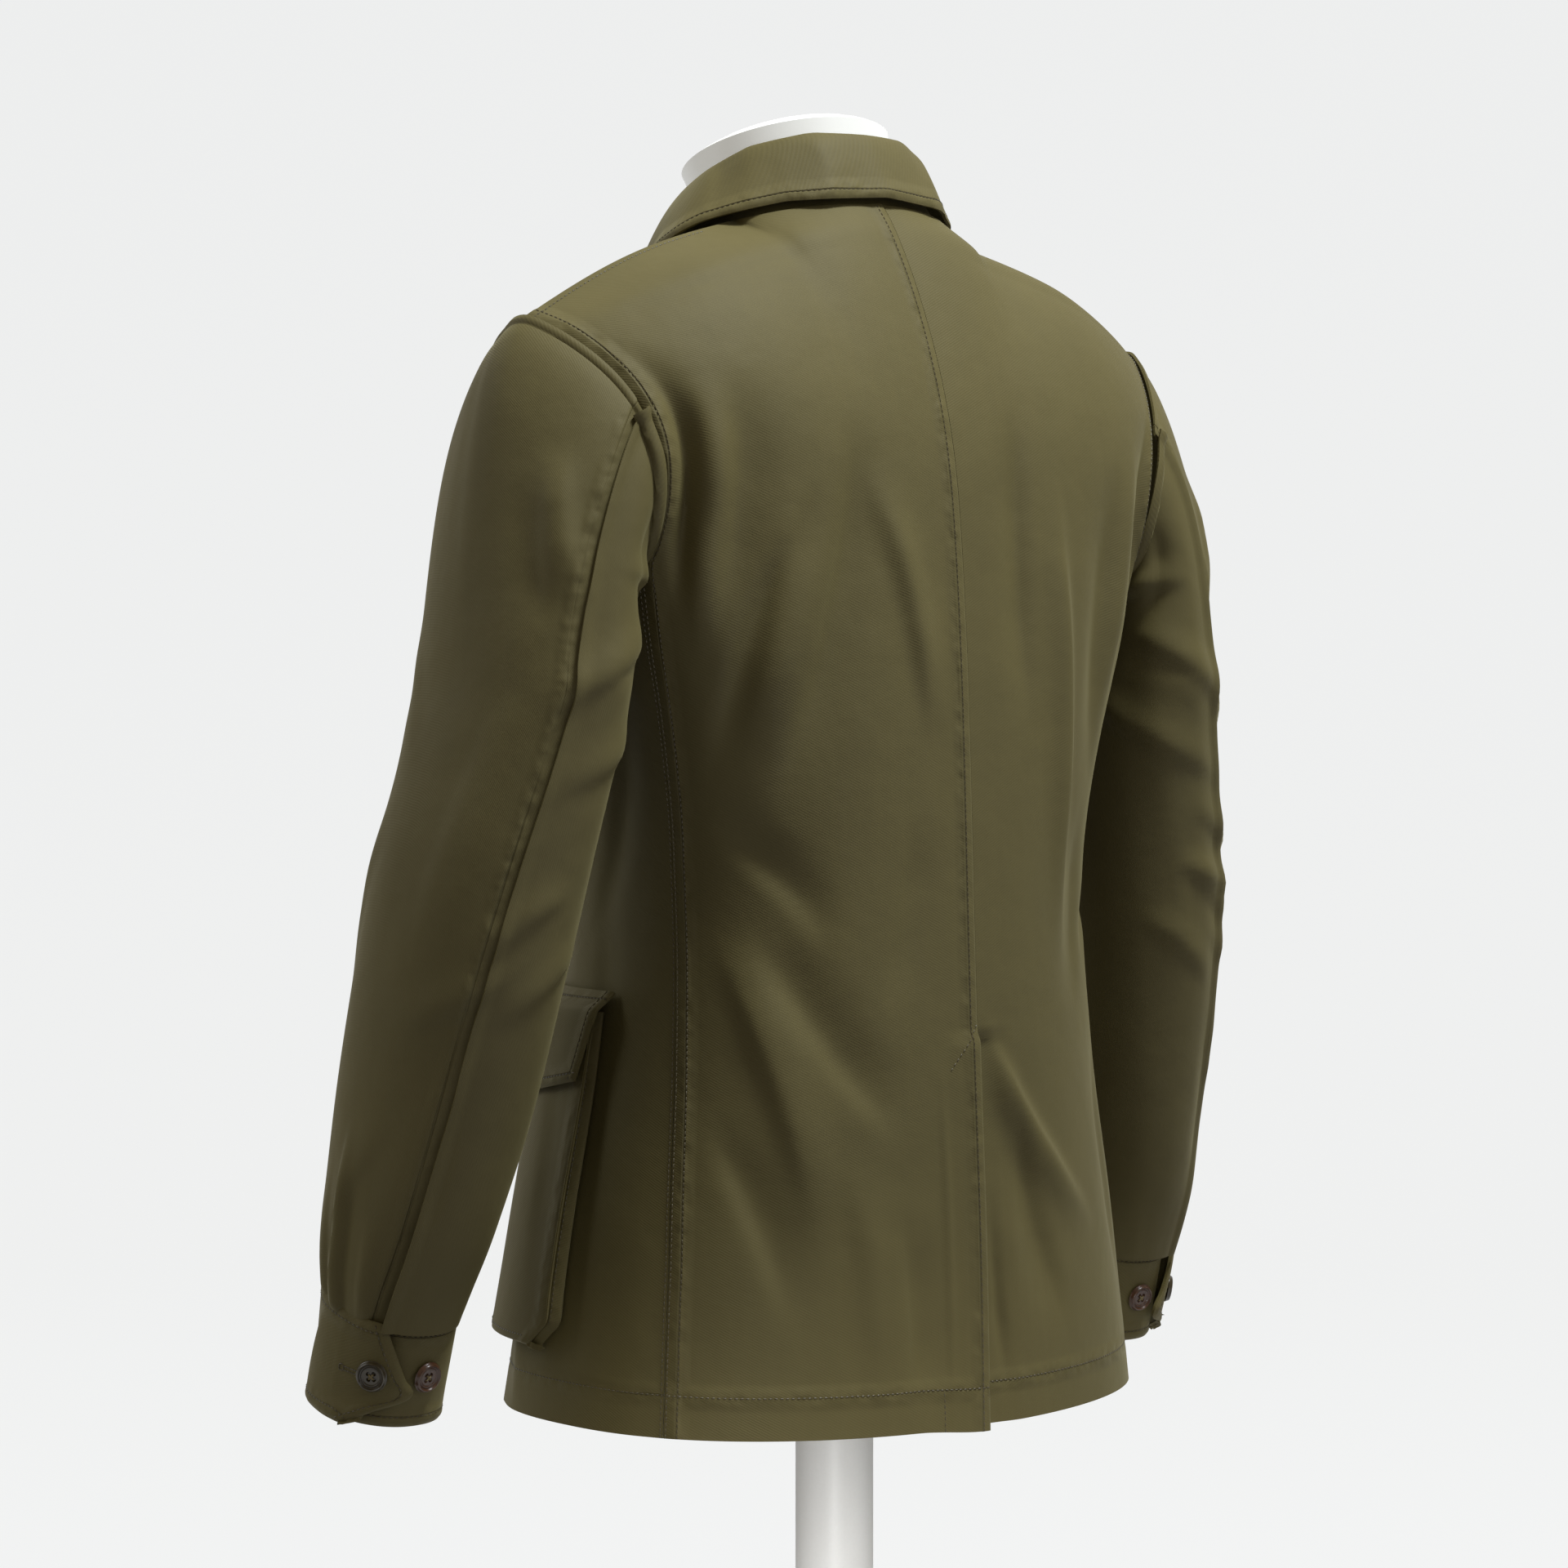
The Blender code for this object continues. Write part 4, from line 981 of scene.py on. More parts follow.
def collar_cloth(fall):
    """The stand or the fall, in one strip from the left front round the back to the right."""
    last = 165 if fall else 171
    base = []
    for share in np.linspace(0, 1, 11 if fall else 5):
        line = []
        for signed in np.linspace(-last, last, 61):
            angle = abs(signed)
            fold, way = fold_line(angle), outward(angle)
            if fall:
                edge = collar_edge(angle)
                start = fold + way * 0.0006 - (0, 0, 0.0005)
                crest = fold + way * 0.0055 + (0, 0, 0.0040)
                point = (1 - share)**2 * start + 2 * (1 - share) * share * crest + share**2 * edge
                sag = (0, 0, 0.0085 * bell(angle, 112, 24))
                point = point - (way * 0.0034 + sag) * share ** 2
            else:
                seam = neck_line(min(angle, 180)) - (0, 0, 0.0040) - way * 0.0018
                top = fold - (0, 0, 0.0045) - way * 0.0028
                point = seam + (top - seam) * share
            line.append(with_place(point * (math.copysign(1, signed), 1, 1), signed, share))
        base.append(line)
    cloth = panel(base, 46 if fall else 16, 220, 1, flip=not fall, crowd=0.3)
    cloth.wall[:] = TWILL * 1.2 if fall else TWILL
    if fall:
        edges = np.minimum(cloth.far("top"), np.minimum(cloth.far("first"), cloth.far("last")))
        cloth.raise_by(-0.0006 * step_down(edges, 0, 0.0015) + 0.0002 * bell(edges, 0.003, 0.002))
        cloth.mark(np.abs(edges - EDGE_STITCH))
        cloth.raise_by(crease_relief(cloth.around, cloth.height * 0.06, 0.0016,
                                     [(-30, 0.06, -44, 0.02, 13, 0.9, 1),
                                      (22, 0.06, 30, 0.02, 15, 0.8, 1),
                                      (70, 0.06, 78, 0.01, 12, -0.8, 1),
                                      (-95, 0.06, -85, 0.01, 13, -0.8, 1)]))
    else:
        cloth.mark(np.abs(cloth.far("foot") - 0.002))
    return cloth


@lru_cache(maxsize=None)
def collar_parts():
    return {"collar_fall": collar_cloth(True), "collar_stand": collar_cloth(False)}


# Pockets and flaps ----------------------------------------------------------------------------

@lru_cache(maxsize=None)
def pocket_cloth(side):
    """The bellows pocket: a face with an inverted pleat, on gussets that reach the front."""
    foot = TWILL + 0.0004
    half = [(-0.003, 0), (0.006, 0.14), (0.030, 0.38), (0.036, 0.50), (0.016, 0.72), (0.000, 0.90),
            (0.001, 0.97), (0.010, 1), (0.07, 1), (0.14, 1), (0.215, 1), (0.29, 1), (0.37, 1), (0.430, 1),
            (0.460, 1), (0.473, 0.92), (0.478, 0.5), (0.488, 0.15)]
    across = half + [(1 - share, stand) for share, stand in reversed(half)]
    corner = 0.014
    down = [(POCKET_TOP - 0.001, 0.85), (0.215, 0.95), (0.20, 1), (0.18, 1), (0.16, 1), (0.135, 1),
            (0.115, 1), (0.09, 1), (0.07, 1)]
    down += [(POCKET_BOTTOM + up, rise) for up, rise in
             ((corner, 1), (0.007, 1), (0.001, 1), (0, 0.8), (-0.001, 0.5), (-0.002, 0))]
    base = []
    for height, rise in down:
        inset = corner / POCKET_WIDTH * (1 - float(step_up(height, POCKET_BOTTOM, POCKET_BOTTOM + corner)))
        row = []
        for share, stand in across:
            place = POCKET_EDGE + POCKET_WIDTH * (inset + (1 - 2 * inset) * share)
            swell = 0.0012 * math.sin(math.pi * min(max(share, 0), 1)) * math.sin(math.pi * rise * 0.5)
            point = on_front(place, height, foot + (bellows(height) + swell) * min(rise, stand))
            row.append(with_place(point, share * 100, height))
        base.append(row)
    cloth = panel(base, 84, 124, side, crowd=0.6)
    cloth.raise_by(crease_relief(cloth.around, cloth.height, 0.0015,
                                 [(20, 0.20, 12, 0.07, 9, -0.8, 2), (85, 0.19, 74, 0.08, 10, -0.8, -2)]))
    sides = np.minimum(np.abs(cloth.around - 4), np.abs(cloth.around - 96)) * 0.00152
    cloth.mark(sides)
    return cloth


@lru_cache(maxsize=None)
def flap_cloth(side):
    """The pocket flap, sewn along its top and pointed at its foot."""
    shares = np.linspace(0, 1, 25)
    base = []
    for drop in (0, 0.05, 0.10, 0.16, 0.22, 0.33, 0.45, 0.6, 0.72, 0.86, 1.0):
        row = []
        for share in shares:
            depth = FLAP_SIDE + (FLAP_POINT - FLAP_SIDE) * (1 - abs(2 * share - 1))
            height = FLAP_TOP - depth * drop
            lift = TWILL + 0.0006 + float(step_up(drop, -0.04, 0.26)) * (bellows(height) + 0.0044)
            ends = 0.009 - 0.013 * drop
            point = on_front(POCKET_EDGE - ends + (POCKET_WIDTH + 2 * ends) * share, height, lift)
            row.append(with_place(point, share * 100, drop))
        base.append(row)
    cloth = panel(base, 46, 90, side, crowd=0.5)
    edges = np.minimum(cloth.far("top"), np.minimum(cloth.far("first"), cloth.far("last")))
    cloth.raise_by(-0.0006 * step_down(edges, 0, 0.002) + 0.0004 * bell(edges, 0.003, 0.002))
    cloth.mark(np.minimum(np.abs(edges - EDGE_STITCH), np.abs(cloth.far("foot") - 0.006)))
    return cloth


# Buttons --------------------------------------------------------------------------------------

def disc_height(x, y, radius_now):
    """A four-hole button's face over its plane: a round rim, a shallow dish and the holes."""
    away = np.hypot(x, y) / radius_now
    rim = bell(away, 0.83, 0.085) + 0.35 * bell(away, 0.60, 0.05)
    height = BUTTON_THICK * (0.52 + 0.48 * rim) * (1 - step_up(away, 0.90, 1.0) * 0.55)
    for turn in (45, 135, 225, 315):
        hx = 0.0022 * math.cos(math.radians(turn))
        hy = 0.0022 * math.sin(math.radians(turn))
        height = height - 0.0014 * step_down(np.hypot(x - hx, y - hy), 0.00070, 0.00120)
    return height


def make_button(name, centre, normal, look, side=1):
    """A turned four-hole button sewn on with a cross of thread."""
    normal = np.array(normal, float) / np.linalg.norm(normal)
    side_way = np.cross((0, 0, 1), normal)
    side_way /= np.linalg.norm(side_way)
    up_way = np.cross(normal, side_way)
    around, rings = 56, 34
    reach = np.concatenate((np.linspace(0.02, 1.0, rings), (1.0, 0.90)))
    turns = 2 * np.pi * np.arange(around) / around
    x = BUTTON_RADIUS * reach[:, None] * np.cos(turns)
    y = BUTTON_RADIUS * reach[:, None] * np.sin(turns)
    z = disc_height(x, y, BUTTON_RADIUS)
    z[-2], z[-1] = BUTTON_THICK * 0.18, 0
    corners = centre + x[..., None] * side_way + y[..., None] * up_way + (z[..., None] + 0.0006) * normal
    rows = len(reach)
    faces = [(r * around + k, (r + 1) * around + k, (r + 1) * around + (k + 1) % around,
              r * around + (k + 1) % around) for r in range(rows - 1) for k in range(around)]
    faces.append(tuple(range(around)))
    faces.append(tuple((rows - 1) * around + k for k in range(around))[::-1])
    if side < 0:
        faces = [face[::-1] for face in faces]
    obj = make_object(name + "_horn", corners.reshape(-1, 3) * (side, 1, 1), faces, look, 40)
    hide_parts(name)
    lines = []
    for turn in (45, 135):
        way = side_way * math.cos(math.radians(turn)) + up_way * math.sin(math.radians(turn))
        for shift in (-0.00022, 0.00022):
            cross = np.cross(way, normal) * shift
            t = np.linspace(-1, 1, 9)
            line = (centre + normal * (0.0005 + BUTTON_THICK * 0.52) + cross + way * 0.0024 * t[:, None]
                    + normal * (0.0006 * (1 - t ** 4))[:, None])
            lines.append((line, np.tile(normal, (9, 1))))
    return lines


def button_places():
    """Name, centre, way out and side of every button."""
    spots = []
    for k, height in enumerate(FRONT_BUTTONS):
        spot = np.array((0, round_body(180, height)[1] - LAP * 1.1 - 0.0006, height))
        spots.append((f"front_button_{k + 1}", spot, (0, -1, 0.05), 1))
    for side, word in ((1, "left"), (-1, "right")):
        for kind, angle, lift in (("tab", 46, 0.0012), ("spare", 93, 0.0012 - 1.15 * LAP)):
            here = cuff_point(angle, 0.50, lift)
            normal = np.cross(cuff_point(angle + 2, 0.50, lift) - here, cuff_point(angle, 0.60, lift) - here)
            normal *= 1 if normal[0] * (here[0] - 0.27) + normal[1] * (here[1] + 0.06) > 0 else -1
            normal /= np.linalg.norm(normal)
            off = {"tab": 0.0010 if side > 0 else 0.0033, "spare": 0.0008}[kind]
            spot = hang(here + normal * off, side) * (side, 1, 1)
            spots.append((f"cuff_button_{kind}_{word}", spot, normal, side))
    return spots


def eyelet_buttonhole(line, out):
    """A keyhole buttonhole in thread: close stitches along both sides of a slit and round its eyelet."""
    way = (line[-1] - line[-2]) / np.linalg.norm(line[-1] - line[-2])
    wise = np.cross(out, way)
    turn = np.linspace(0, 2 * np.pi, 24)[:, None]
    eye = line[-1] + (way * (1 + np.cos(turn)) + wise[-1] * np.sin(turn)) * 0.0018
    return [(line + wise * 0.0010, out), (line - wise * 0.0010, out), (eye, np.tile(out[-1], (24, 1)))]



# Dress form and stand -------------------------------------------------------------------------

def turned(rings):
    """Corners and faces of a closed body from stacked rings."""
    rings = np.array(rings)
    count, around = rings.shape[:2]
    faces = [(k * around + j, k * around + (j + 1) % around, (k + 1) * around + (j + 1) % around,
              (k + 1) * around + j) for k in range(count - 1) for j in range(around)]
    faces.append(tuple(range(around))[::-1])
    faces.append(tuple((count - 1) * around + j for j in range(around)))
    return rings.reshape(-1, 3), faces


def circle(reach, height, around=96):
    turns = 2 * np.pi * np.arange(around) / around
    return np.stack((reach * np.cos(turns), reach * np.sin(turns), np.full(around, height)), axis=1)


def finish_form(rings):
    """The torso's rings with its sloping neck cap and its turned-in lower edge."""
    rings = [np.array(ring) for ring in rings]
    middle = rings[-1].mean(axis=0)
    for k in range(1, 9):
        slope = (rings[-k][:, 1] - middle[1]) * NECK_CAP_SLOPE * max(1 - (k - 1) / 8, 0) ** 2
        rings[-k] = rings[-k] + np.outer(slope, (0, 0, 1))
    lip = rings[-1]
    for share in (0.985, 0.95, 0.9, 0.8, 0.65, 0.45, 0.25, 0.08):
        rings.append(middle + (lip - middle) * share + (0, 0, NECK_CAP_RISE * (1 - share ** 3) * 1.05))
    low = rings[0]
    centre = low.mean(axis=0)
    for share, fall in ((0.985, 0.0022), (0.955, 0.0045), (0.90, 0.006)):
        rings.insert(0, centre + (low - centre) * share - (0, 0, fall))
    return np.array(rings)


def stand_rings():
    """The pole with its foot collar, and the round base with an eased edge."""
    top = FORM_BOTTOM - 0.0064
    foot = BASE_THICK + 0.0004 - HEM
    pole = [circle(POLE_RADIUS * wide, rise) for wide, rise in
            ((1.30, foot), (1.30, foot + 0.012), (1.24, foot + 0.014), (1.0, foot + 0.0145), (1.0, top))]
    base = [circle(BASE_RADIUS * wide, BASE_THICK * rise - HEM) for wide, rise in
            ((0.995, 0.0), (1.0, 0.06), (1.0, 0.75), (0.996, 0.92), (0.985, 1.0))]
    return {"form_pole": pole, "form_base": base}


# Materials ------------------------------------------------------------------------------------

def linear(colour):
    """An sRGB hex colour such as '#7a7050' turned linear, with full cover."""
    parts = (int(colour[k:k + 2], 16) / 255 for k in (1, 3, 5))
    return tuple(p / 12.92 if p <= 0.04045 else ((p + 0.055) / 1.055) ** 2.4 for p in parts) + (1.0,)


def fill(tree, target, inputs):
    """Sets a node's sockets: a link where the value is another node's socket, or else a constant."""
    for socket, value in inputs.items():
        if isinstance(value, bpy.types.NodeSocket):
            tree.links.new(value, target.inputs[socket])
        else:
            target.inputs[socket].default_value = value


def node(tree, kind, inputs=None, output=0, **settings):
    """Adds a shader node with its settings, constants and links, and gives one of its outputs."""
    made = tree.nodes.new("ShaderNode" + kind)
    for name, value in settings.items():
        setattr(made, name, value)
    fill(tree, made, inputs or {})
    return made.outputs[output]


def new_material(name):
    made = bpy.data.materials.new(name)
    made.use_nodes = True
    tree = made.node_tree
    return made, tree, tree.nodes["Principled BSDF"]


def darker(colour, times):
    """The same hex colour with each part multiplied, and turned linear."""
    parts = (min(round(int(colour[k:k + 2], 16) * times), 255) for k in (1, 3, 5))
    return linear("#" + "".join(f"{p:02x}" for p in parts))


def cotton_twill(colour, weave):
    """Brushed cotton twill: matt, with a soft sheen at grazing angles, a fine diagonal rib, a cloudy
    unevenness of dye, puckered cloth beside each row of stitches, and painted shade darkening the
    sunken line of each row."""
    made, tree, shader = new_material("cotton twill")
    place = node(tree, "UVMap", uv_map="cloth")
    solid = node(tree, "TexCoord", output="Object")
    seam = node(tree, "Attribute", output="Fac", attribute_name="seam_distance")
    # The real rib is about 0.6 mm apart; it is drawn coarser so that it holds at a distance.
    slanted = node(tree, "VectorRotate", {"Vector": place, "Angle": math.radians(63)},
                   rotation_type="Z_AXIS")
    rib = node(tree, "TexWave", {"Vector": slanted, "Scale": 0.31416 / weave, "Distortion": 1.6,
                                 "Detail": 2.0, "Detail Scale": 3.0}, "Fac", bands_direction="X")
    # Yarn about 1 mm, clouds of dye about 70 mm, slubs 6 mm by 80 mm and puckers about 10 mm across.
    yarn = node(tree, "TexNoise", {"Vector": place, "Scale": 900.0, "Detail": 2.0}, "Fac")
    cloud = node(tree, "TexNoise", {"Vector": solid, "Scale": 14.0, "Detail": 3.0, "Roughness": 0.55}, "Fac")
    drawn = node(tree, "VectorMath", {0: place, 1: (160.0, 12.0, 1.0)}, operation="MULTIPLY")
    slub = node(tree, "TexNoise", {"Vector": drawn, "Scale": 1.0, "Detail": 2.0}, "Fac")
    pucker = node(tree, "TexNoise", {"Vector": solid, "Scale": 95.0, "Detail": 1.0}, "Fac")
    softness = node(tree, "TexNoise", {"Vector": solid, "Scale": 34.0, "Detail": 2.5}, "Fac")
    # near marks the puckered band beside each row of stitches; line marks its sunken groove, which below
    # both dips the cloth and darkens its colour as painted shade.
    near, line = (node(tree, "MapRange", {"Value": seam, "From Min": start, "From Max": end, "To Min": 1.0,
                                          "To Max": 0.0}, interpolation_type="SMOOTHSTEP")
                  for start, end in ((0.0, 0.008), (0.0002, 0.0010)))
    base = node(tree, "Mix", {0: cloud, 6: darker(colour, 0.91), 7: darker(colour, 1.09)}, 2,
                data_type="RGBA")
    # Slubs, yarn and rib vary the cloth's own tone; the last, darker along each row of stitches, is painted
    # shade in the groove.
    for tone_and_groove_shade, most, times in ((slub, 0.55, 0.93), (yarn, 0.24, 0.72), (rib, 0.10, 1.22),
                                 (line, 0.30, 0.58)):
        share = node(tree, "Math", {0: tone_and_groove_shade, 1: most}, operation="MULTIPLY")
        base = node(tree, "Mix", {0: share, 6: base, 7: darker(colour, times)}, 2, data_type="RGBA")
    fine = node(tree, "Math", {0: rib, 1: yarn}, operation="ADD")
    ribbed = node(tree, "Bump", {"Height": fine, "Strength": 0.16, "Distance": 0.00035})
    eased = node(tree, "Bump", {"Height": softness, "Normal": ribbed, "Strength": 0.40, "Distance": 0.0022})
    raised = node(tree, "Math", {0: near, 1: pucker}, operation="MULTIPLY")
    sunk = node(tree, "Math", {0: line, 1: 0.35}, operation="MULTIPLY")
    height = node(tree, "Math", {0: raised, 1: sunk}, operation="SUBTRACT")
    puckered = node(tree, "Bump", {"Height": height, "Normal": eased, "Strength": 0.70, "Distance": 0.0030})
    fill(tree, shader, {"Base Color": base, "Normal": puckered, "Roughness": 0.70,
                        "Specular IOR Level": 0.34, "Sheen Weight": 0.22, "Sheen Roughness": 0.45,
                        "Sheen Tint": linear("#b9b184")})
    return made


def sewing_thread(colour):
    """Polished cotton-wrapped thread: a touch glossier than the cloth, so each stitch catches light."""
    made, tree, shader = new_material("sewing thread")
    fill(tree, shader, {"Base Color": linear(colour), "Roughness": 0.5})
    return made


def horn(name, colour):
    """Polished horn: dark, glossy, with long cloudy streaks through it, about 2 mm by 10 mm."""
    made, tree, shader = new_material(name)
    solid = node(tree, "TexCoord", output="Object")
    drawn = node(tree, "VectorMath", {0: solid, 1: (1.0, 1.0, 0.25)}, operation="MULTIPLY")
    streak = node(tree, "TexNoise", {"Vector": drawn, "Scale": 420.0, "Detail": 4.0, "Distortion": 1.2},
                  "Fac")
    base = node(tree, "Mix", {0: streak, 6: darker(colour, 0.6), 7: darker(colour, 1.7)}, 2,
                data_type="RGBA")
    fill(tree, shader, {"Base Color": base, "Roughness": 0.30})
    return made


def white_finish(name, colour, scale, strength, depth, least, roughness):
    """A smooth white coat whose fine unevenness, its grains a scale-th of a metre, moves light and tone."""
    made, tree, shader = new_material(name)
    solid = node(tree, "TexCoord", output="Object")
    grain = node(tree, "TexNoise", {"Vector": solid, "Scale": scale, "Detail": 2.0}, "Fac")
    uneven = node(tree, "Bump", {"Height": grain, "Strength": strength, "Distance": depth})
    base = node(tree, "Mix", {0: grain, 6: darker(colour, least), 7: linear(colour)}, 2, data_type="RGBA")
    fill(tree, shader, {"Base Color": base, "Normal": uneven, "Roughness": roughness})
    return made, tree, shader


def lacquered_fibreglass(colour):
    """A moulded shell in white satin lacquer: smooth, with a wide soft highlight."""
    made, tree, shader = white_finish("lacquered fibreglass", colour, 45.0, 0.05, 0.001, 0.985, 0.38)
    # A little light of its own stands for the white room that the lacquer mirrors.
    fill(tree, shader, {"Emission Color": linear(colour), "Emission Strength": 0.16})
    return made


def coated_steel(colour):
    """White powder coat over steel: fine orange-peel texture under a satin gloss."""
    return white_finish("powder-coated steel", colour, 700.0, 0.12, 0.0004, 0.98, 0.42)[0]


def studio_paper(colour):
    """White studio paper lit from all round: nearly even, and only faintly shaded where things stand."""
    made, tree, shader = new_material("studio paper")
    fill(tree, shader, {"Base Color": linear("#505050"), "Emission Color": linear(colour),
                        "Emission Strength": 0.925, "Roughness": 1.0, "Specular IOR Level": 0.0})
    return made


def studio_air():
    """The light of a white room: brightest overhead, dim from the floor."""
    world = bpy.data.worlds.new("studio")
    world.use_nodes = True
    tree = world.node_tree
    way = node(tree, "TexCoord", output="Generated")
    rise = node(tree, "SeparateXYZ", {"Vector": way}, "Z")
    strength = node(tree, "MapRange", {"Value": rise, "From Min": -0.6, "From Max": 0.9, "To Min": 0.06,
                                       "To Max": 0.33}, interpolation_type="SMOOTHSTEP")
    fill(tree, tree.nodes["Background"], {"Color": linear("#fff3dd"), "Strength": strength})
    return world


@lru_cache(maxsize=None)
def looks():
    """Every material of the jacket and form, made once."""
    wanted = bpy.context.scene.field_jacket
    return {"twill": cotton_twill(as_hex(wanted.cloth_colour), wanted.weave_pitch),
            "thread": sewing_thread(as_hex(wanted.thread_colour)),
            "button_thread": sewing_thread("#8a7c55"),
            "horn": horn("horn", as_hex(wanted.button_colour)),
            "red_horn": horn("reddish horn", "#3d281b"),
            "form": lacquered_fibreglass(as_hex(wanted.form_colour)),
            "steel": coated_steel("#f6f6f5")}


def as_hex(parts):
    return "#" + "".join(f"{round(p * 255):02x}" for p in parts[:3])


# Settings -------------------------------------------------------------------------------------

def colour_field(name, description, colour):
    default = tuple(int(colour[k:k + 2], 16) / 255 for k in (1, 3, 5))
    return FloatVectorProperty(name=name, description=description, subtype="COLOR_GAMMA", size=3,
                               min=0, max=1, default=default)


class JacketSettings(bpy.types.PropertyGroup):
    cloth_colour: colour_field("Cloth", "Colour of the twill", "#635a33")
    thread_colour: colour_field("Thread", "Colour of the topstitching", "#4b4228")
    button_colour: colour_field("Buttons", "Colour of the horn buttons", "#2e2717")
    form_colour: colour_field("Form", "Colour of the dress form", "#f9f9f7")
    weave_pitch: FloatProperty(name="Weave", description="Distance between the twill's ribs", unit="LENGTH",
                               default=0.0013, min=0.0004, max=0.005)
    stitch_pitch: FloatProperty(name="Stitch", description="Distance from one stitch to the next",
                                unit="LENGTH", default=0.0031, min=0.001, max=0.01)
    fold_depth: FloatProperty(name="Folds", description="How deep the folds are, 1 being as listed",
                              default=2.2, min=0.0, max=3.0)
    key_light: FloatProperty(name="Key light", description="Power of the main lamp", subtype="POWER",
                             default=62.0, min=0)


# Operators ------------------------------------------------------------------------------------

class Builder:
    """Shared by the operators below: stops with an error if nothing was built."""

    bl_options = {"REGISTER", "UNDO"}

    def execute(self, context):
        before = len(bpy.data.objects)
        self.build(context)
        if len(bpy.data.objects) == before:
            raise RuntimeError(self.bl_label + " made nothing")
        return {"FINISHED"}


class JACKET_OT_body(Builder, bpy.types.Operator):
    """Makes the two backs, the two fronts and their stitching"""

    bl_idname = "jacket.body"
    bl_label = "Backs and fronts"

    def build(self, context):
        under = {"back_right": [vent_underlap()]}
        made = {name: make_cloth(name, cloth, *under.get(name, [])) for name, cloth in body_panels().items()}
        thread = make_thread("stitching_body", body_seams())


class JACKET_OT_sleeves(Builder, bpy.types.Operator):
    """Makes the top and under sleeves and their stitching"""

    bl_idname = "jacket.sleeves"
    bl_label = "Sleeves"

    def build(self, context):
        for name, cloth in sleeve_panels().items():
            obj = make_cloth(name, cloth)
        make_thread("stitching_sleeves", sleeve_seams())


class JACKET_OT_cuffs(Builder, bpy.types.Operator):
    """Makes both cuffs, with their pointed tabs and stitching"""

    bl_idname = "jacket.cuffs"
    bl_label = "Cuffs"

    def build(self, context):
        sets = []
        for name, cloth in cuff_bands().items():
            obj = make_cloth(name, cloth)
            rows = [cloth.beside(edge, CUFF_STITCH, start, stop) for edge, start, stop in
                    (("top", 0.02, 1), ("foot", 0.02, 1), ("first", 0.05, 0.95))]
            sets.append((rows, cloth.side, {}))
            hole = eyelet_buttonhole(*cloth.path([(40, 0.51), (19, 0.50)]))
            sets.append((hole, cloth.side, {"pitch": 0.0009, "length": 0.0012, "thick": 0.0004}))
        make_thread("stitching_cuffs", sets)


class JACKET_OT_collar(Builder, bpy.types.Operator):
    """Makes the collar's fall and stand"""

    bl_idname = "jacket.collar"
    bl_label = "Collar"

    def build(self, context):
        sets = []
        for name, cloth in collar_parts().items():
            obj = make_cloth(name, cloth)
            lines = [cloth.beside("foot", 0.002)]
            if name == "collar_fall":
                lines = [cloth.beside(edge, EDGE_STITCH, start, stop) for edge, start, stop in
                         (("top", 0.01, 0.99), ("first", 0.1, 0.95), ("last", 0.1, 0.95))]
            sets.append((lines, 1, {}))
        make_thread("stitching_collar", sets)


class JACKET_OT_pockets(Builder, bpy.types.Operator):
    """Makes both bellows pockets with their flaps"""

    bl_idname = "jacket.pockets"
    bl_label = "Pockets"

    def build(self, context):
        sets = []
        for side, word in ((1, "left"), (-1, "right")):
            pocket, flap = pocket_cloth(side), flap_cloth(side)
            bag = make_cloth("pocket_" + word, pocket)
            lid = make_cloth("pocket_flap_" + word, flap)
            sides = [pocket.path([(share, h) for h in np.linspace(0.222, 0.052, 6)]) for share in (3, 97)]
            sides.append(pocket.path([(s, POCKET_BOTTOM + 0.004) for s in (8, 30, 50, 70, 92)]))
            sets.append((sides, side, {}))
            rows = [flap.beside(edge, EDGE_STITCH, 0.02, stop) for edge, stop in
                    (("top", 0.98), ("first", 0.97), ("last", 0.97))]
            rows.append(flap.beside("foot", 0.006, 0.01, 0.99))
            sets.append((rows, side, {}))
        make_thread("stitching_pockets", sets)


class JACKET_OT_buttons(Builder, bpy.types.Operator):
    """Makes the front and cuff buttons and their thread"""

    bl_idname = "jacket.buttons"
    bl_label = "Buttons"

    def build(self, context):
        sets = []
        for name, centre, normal, side in button_places():
            look = looks()["red_horn" if "spare" in name else "horn"]
            lines = make_button(name, centre, normal, look, side)
            sets.append((lines, side, {"pitch": 0.0046, "length": 0.0046, "thick": 0.00032}))
        make_thread("stitching_buttons", sets, "button_thread")


class JACKET_OT_form(Builder, bpy.types.Operator):
    """Makes the limbless dress form with its pole and base"""

    bl_idname = "jacket.form"
    bl_label = "Dress form"

    def build(self, context):
        around = 128
        rings = []
        for height in np.linspace(FORM_BOTTOM, 0.714, 90):
            ring = [round_body(360 * k / around, height, FORM) for k in range(around)][::-1]
            rings.append(ring)
        rings = np.array(rings)
        rings = finish_form(rings)
        corners, faces = turned(rings)
        torso = make_object("form_torso_shell", corners, faces, looks()["form"], 40)
        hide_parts("form_torso")
        for name, rings in stand_rings().items():
            corners, faces = turned(rings)
            obj = make_object(name + "_steel", corners, faces, looks()["steel"], 35)
            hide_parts(name)


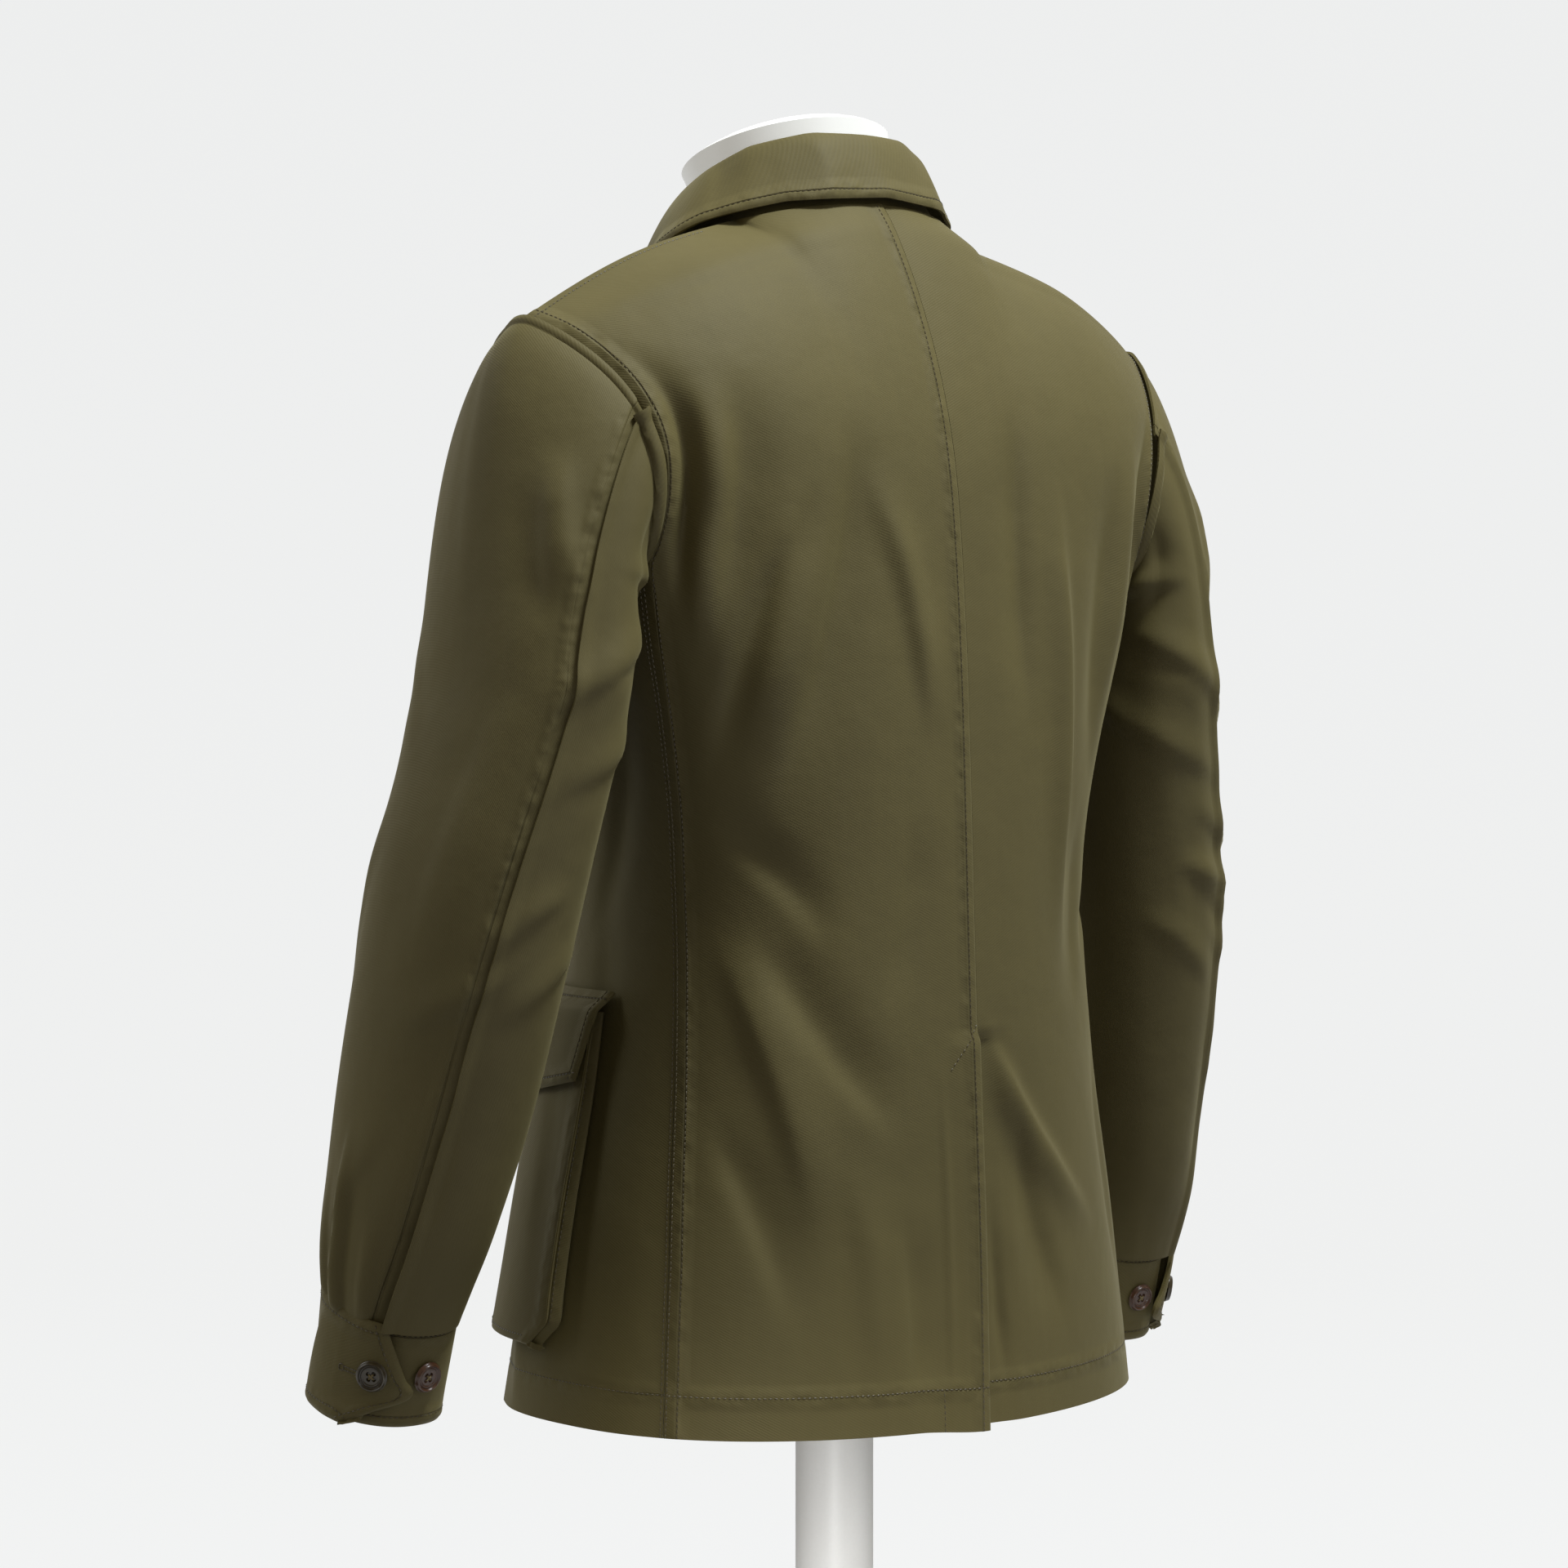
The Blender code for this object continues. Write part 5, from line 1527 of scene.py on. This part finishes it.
class JACKET_OT_stage(Builder, bpy.types.Operator):
    """Makes the studio: paper sweep, soft lamps and the camera"""

    bl_idname = "jacket.stage"
    bl_label = "Stage"

    def build(self, context):
        scene = context.scene
        away = np.array((-math.sin(CAMERA_TURN), math.cos(CAMERA_TURN), 0))
        wise = np.array((math.cos(CAMERA_TURN), math.sin(CAMERA_TURN), 0))
        bend = 1.2
        profile = [(-4.0, 0), (2.2, 0)]
        profile += [(2.2 + bend * math.sin(t), bend - bend * math.cos(t))
                    for t in np.linspace(0, math.pi / 2, 24)[1:]]
        profile += [(3.4, 5.0)]
        corners = [away * reach + wise * x + (0, 0, rise - 0.0005)
                   for reach, rise in profile for x in (-5, 5)]
        faces = [(2 * k, 2 * k + 1, 2 * k + 3, 2 * k + 2) for k in range(len(profile) - 1)]
        mesh = bpy.data.meshes.new("paper_sweep")
        mesh.from_pydata([tuple(c) for c in corners], [], faces)
        mesh.shade_smooth()
        mesh.materials.append(studio_paper("#f2f3f3"))
        sweep = put("paper_sweep", mesh, (0, 0, 0))
        sweep.visible_diffuse = False
        scene.world = studio_air()
        scene.view_settings.view_transform = "Standard"
        power = scene.field_jacket.key_light
        low = bpy.data.lights.new("pole_lamp", "SPOT")
        low.energy, low.spot_size, low.spot_blend = power * 3.6, math.radians(11), 0.6
        low.shadow_soft_size = 0.2
        put("pole_lamp", low, (0, 0, 0.05) - away * 2.2, (0, 0, 0.02))
        for name, across, nearer, height, side, watts in (
                ("key", 0.85, 0.50, 2.75, 0.45, power), ("right_fill", 2.3, 1.7, 1.5, 1.4, power * 0.10),
                ("left_fill", -2.2, -0.1, 1.9, 1.4, power * 0.22)):
            lamp = bpy.data.lights.new(name, "AREA")
            lamp.shape, lamp.size, lamp.energy = "SQUARE", side, watts
            lamp.color = (0.92, 0.97, 1.0)
            put(name, lamp, wise * across - away * nearer + (0, 0, height), (0, 0, 0.62))
        eye = bpy.data.cameras.new("camera")
        eye.lens, eye.sensor_width = 101.25, 36.0
        eye.dof.use_dof = False
        scene.camera = put("camera", eye, wise * -0.02916 - away * 2.54 + (0, 0, HEM + 0.4295))
        scene.camera.rotation_euler = (math.radians(88.2), 0, CAMERA_TURN)


def put(name, data, spot, target=None):
    """An object in the scene at a spot, its -Z pointed at the target if one is given."""
    obj = bpy.data.objects.new(name, data)
    obj.location = spot
    if target:
        way = Vector(np.array(target) - spot)
        obj.rotation_euler = way.to_track_quat("-Z", "Y").to_euler()
    bpy.context.scene.collection.objects.link(obj)
    return obj


OPERATORS = (JACKET_OT_body, JACKET_OT_sleeves, JACKET_OT_cuffs, JACKET_OT_collar, JACKET_OT_pockets,
             JACKET_OT_buttons, JACKET_OT_form, JACKET_OT_stage)


class JACKET_PT_panel(bpy.types.Panel):
    bl_label = "Field Jacket"
    bl_idname = "JACKET_PT_panel"
    bl_space_type = "VIEW_3D"
    bl_region_type = "UI"
    bl_category = "Jacket"

    def draw(self, context):
        for name in JacketSettings.__annotations__:
            self.layout.prop(context.scene.field_jacket, name)
        for operator in OPERATORS:
            self.layout.operator(operator.bl_idname)


def register():
    for made in (JacketSettings, *OPERATORS, JACKET_PT_panel):
        bpy.utils.register_class(made)
    bpy.types.Scene.field_jacket = PointerProperty(type=JacketSettings)


def unregister():
    del bpy.types.Scene.field_jacket
    for made in (JACKET_PT_panel, *reversed(OPERATORS), JacketSettings):
        bpy.utils.unregister_class(made)


def main():
    register()
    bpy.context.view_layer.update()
    for operator in OPERATORS:
        kind, name = operator.bl_idname.split(".")
        getattr(getattr(bpy.ops, kind), name)()


if __name__ == "__main__":
    main()
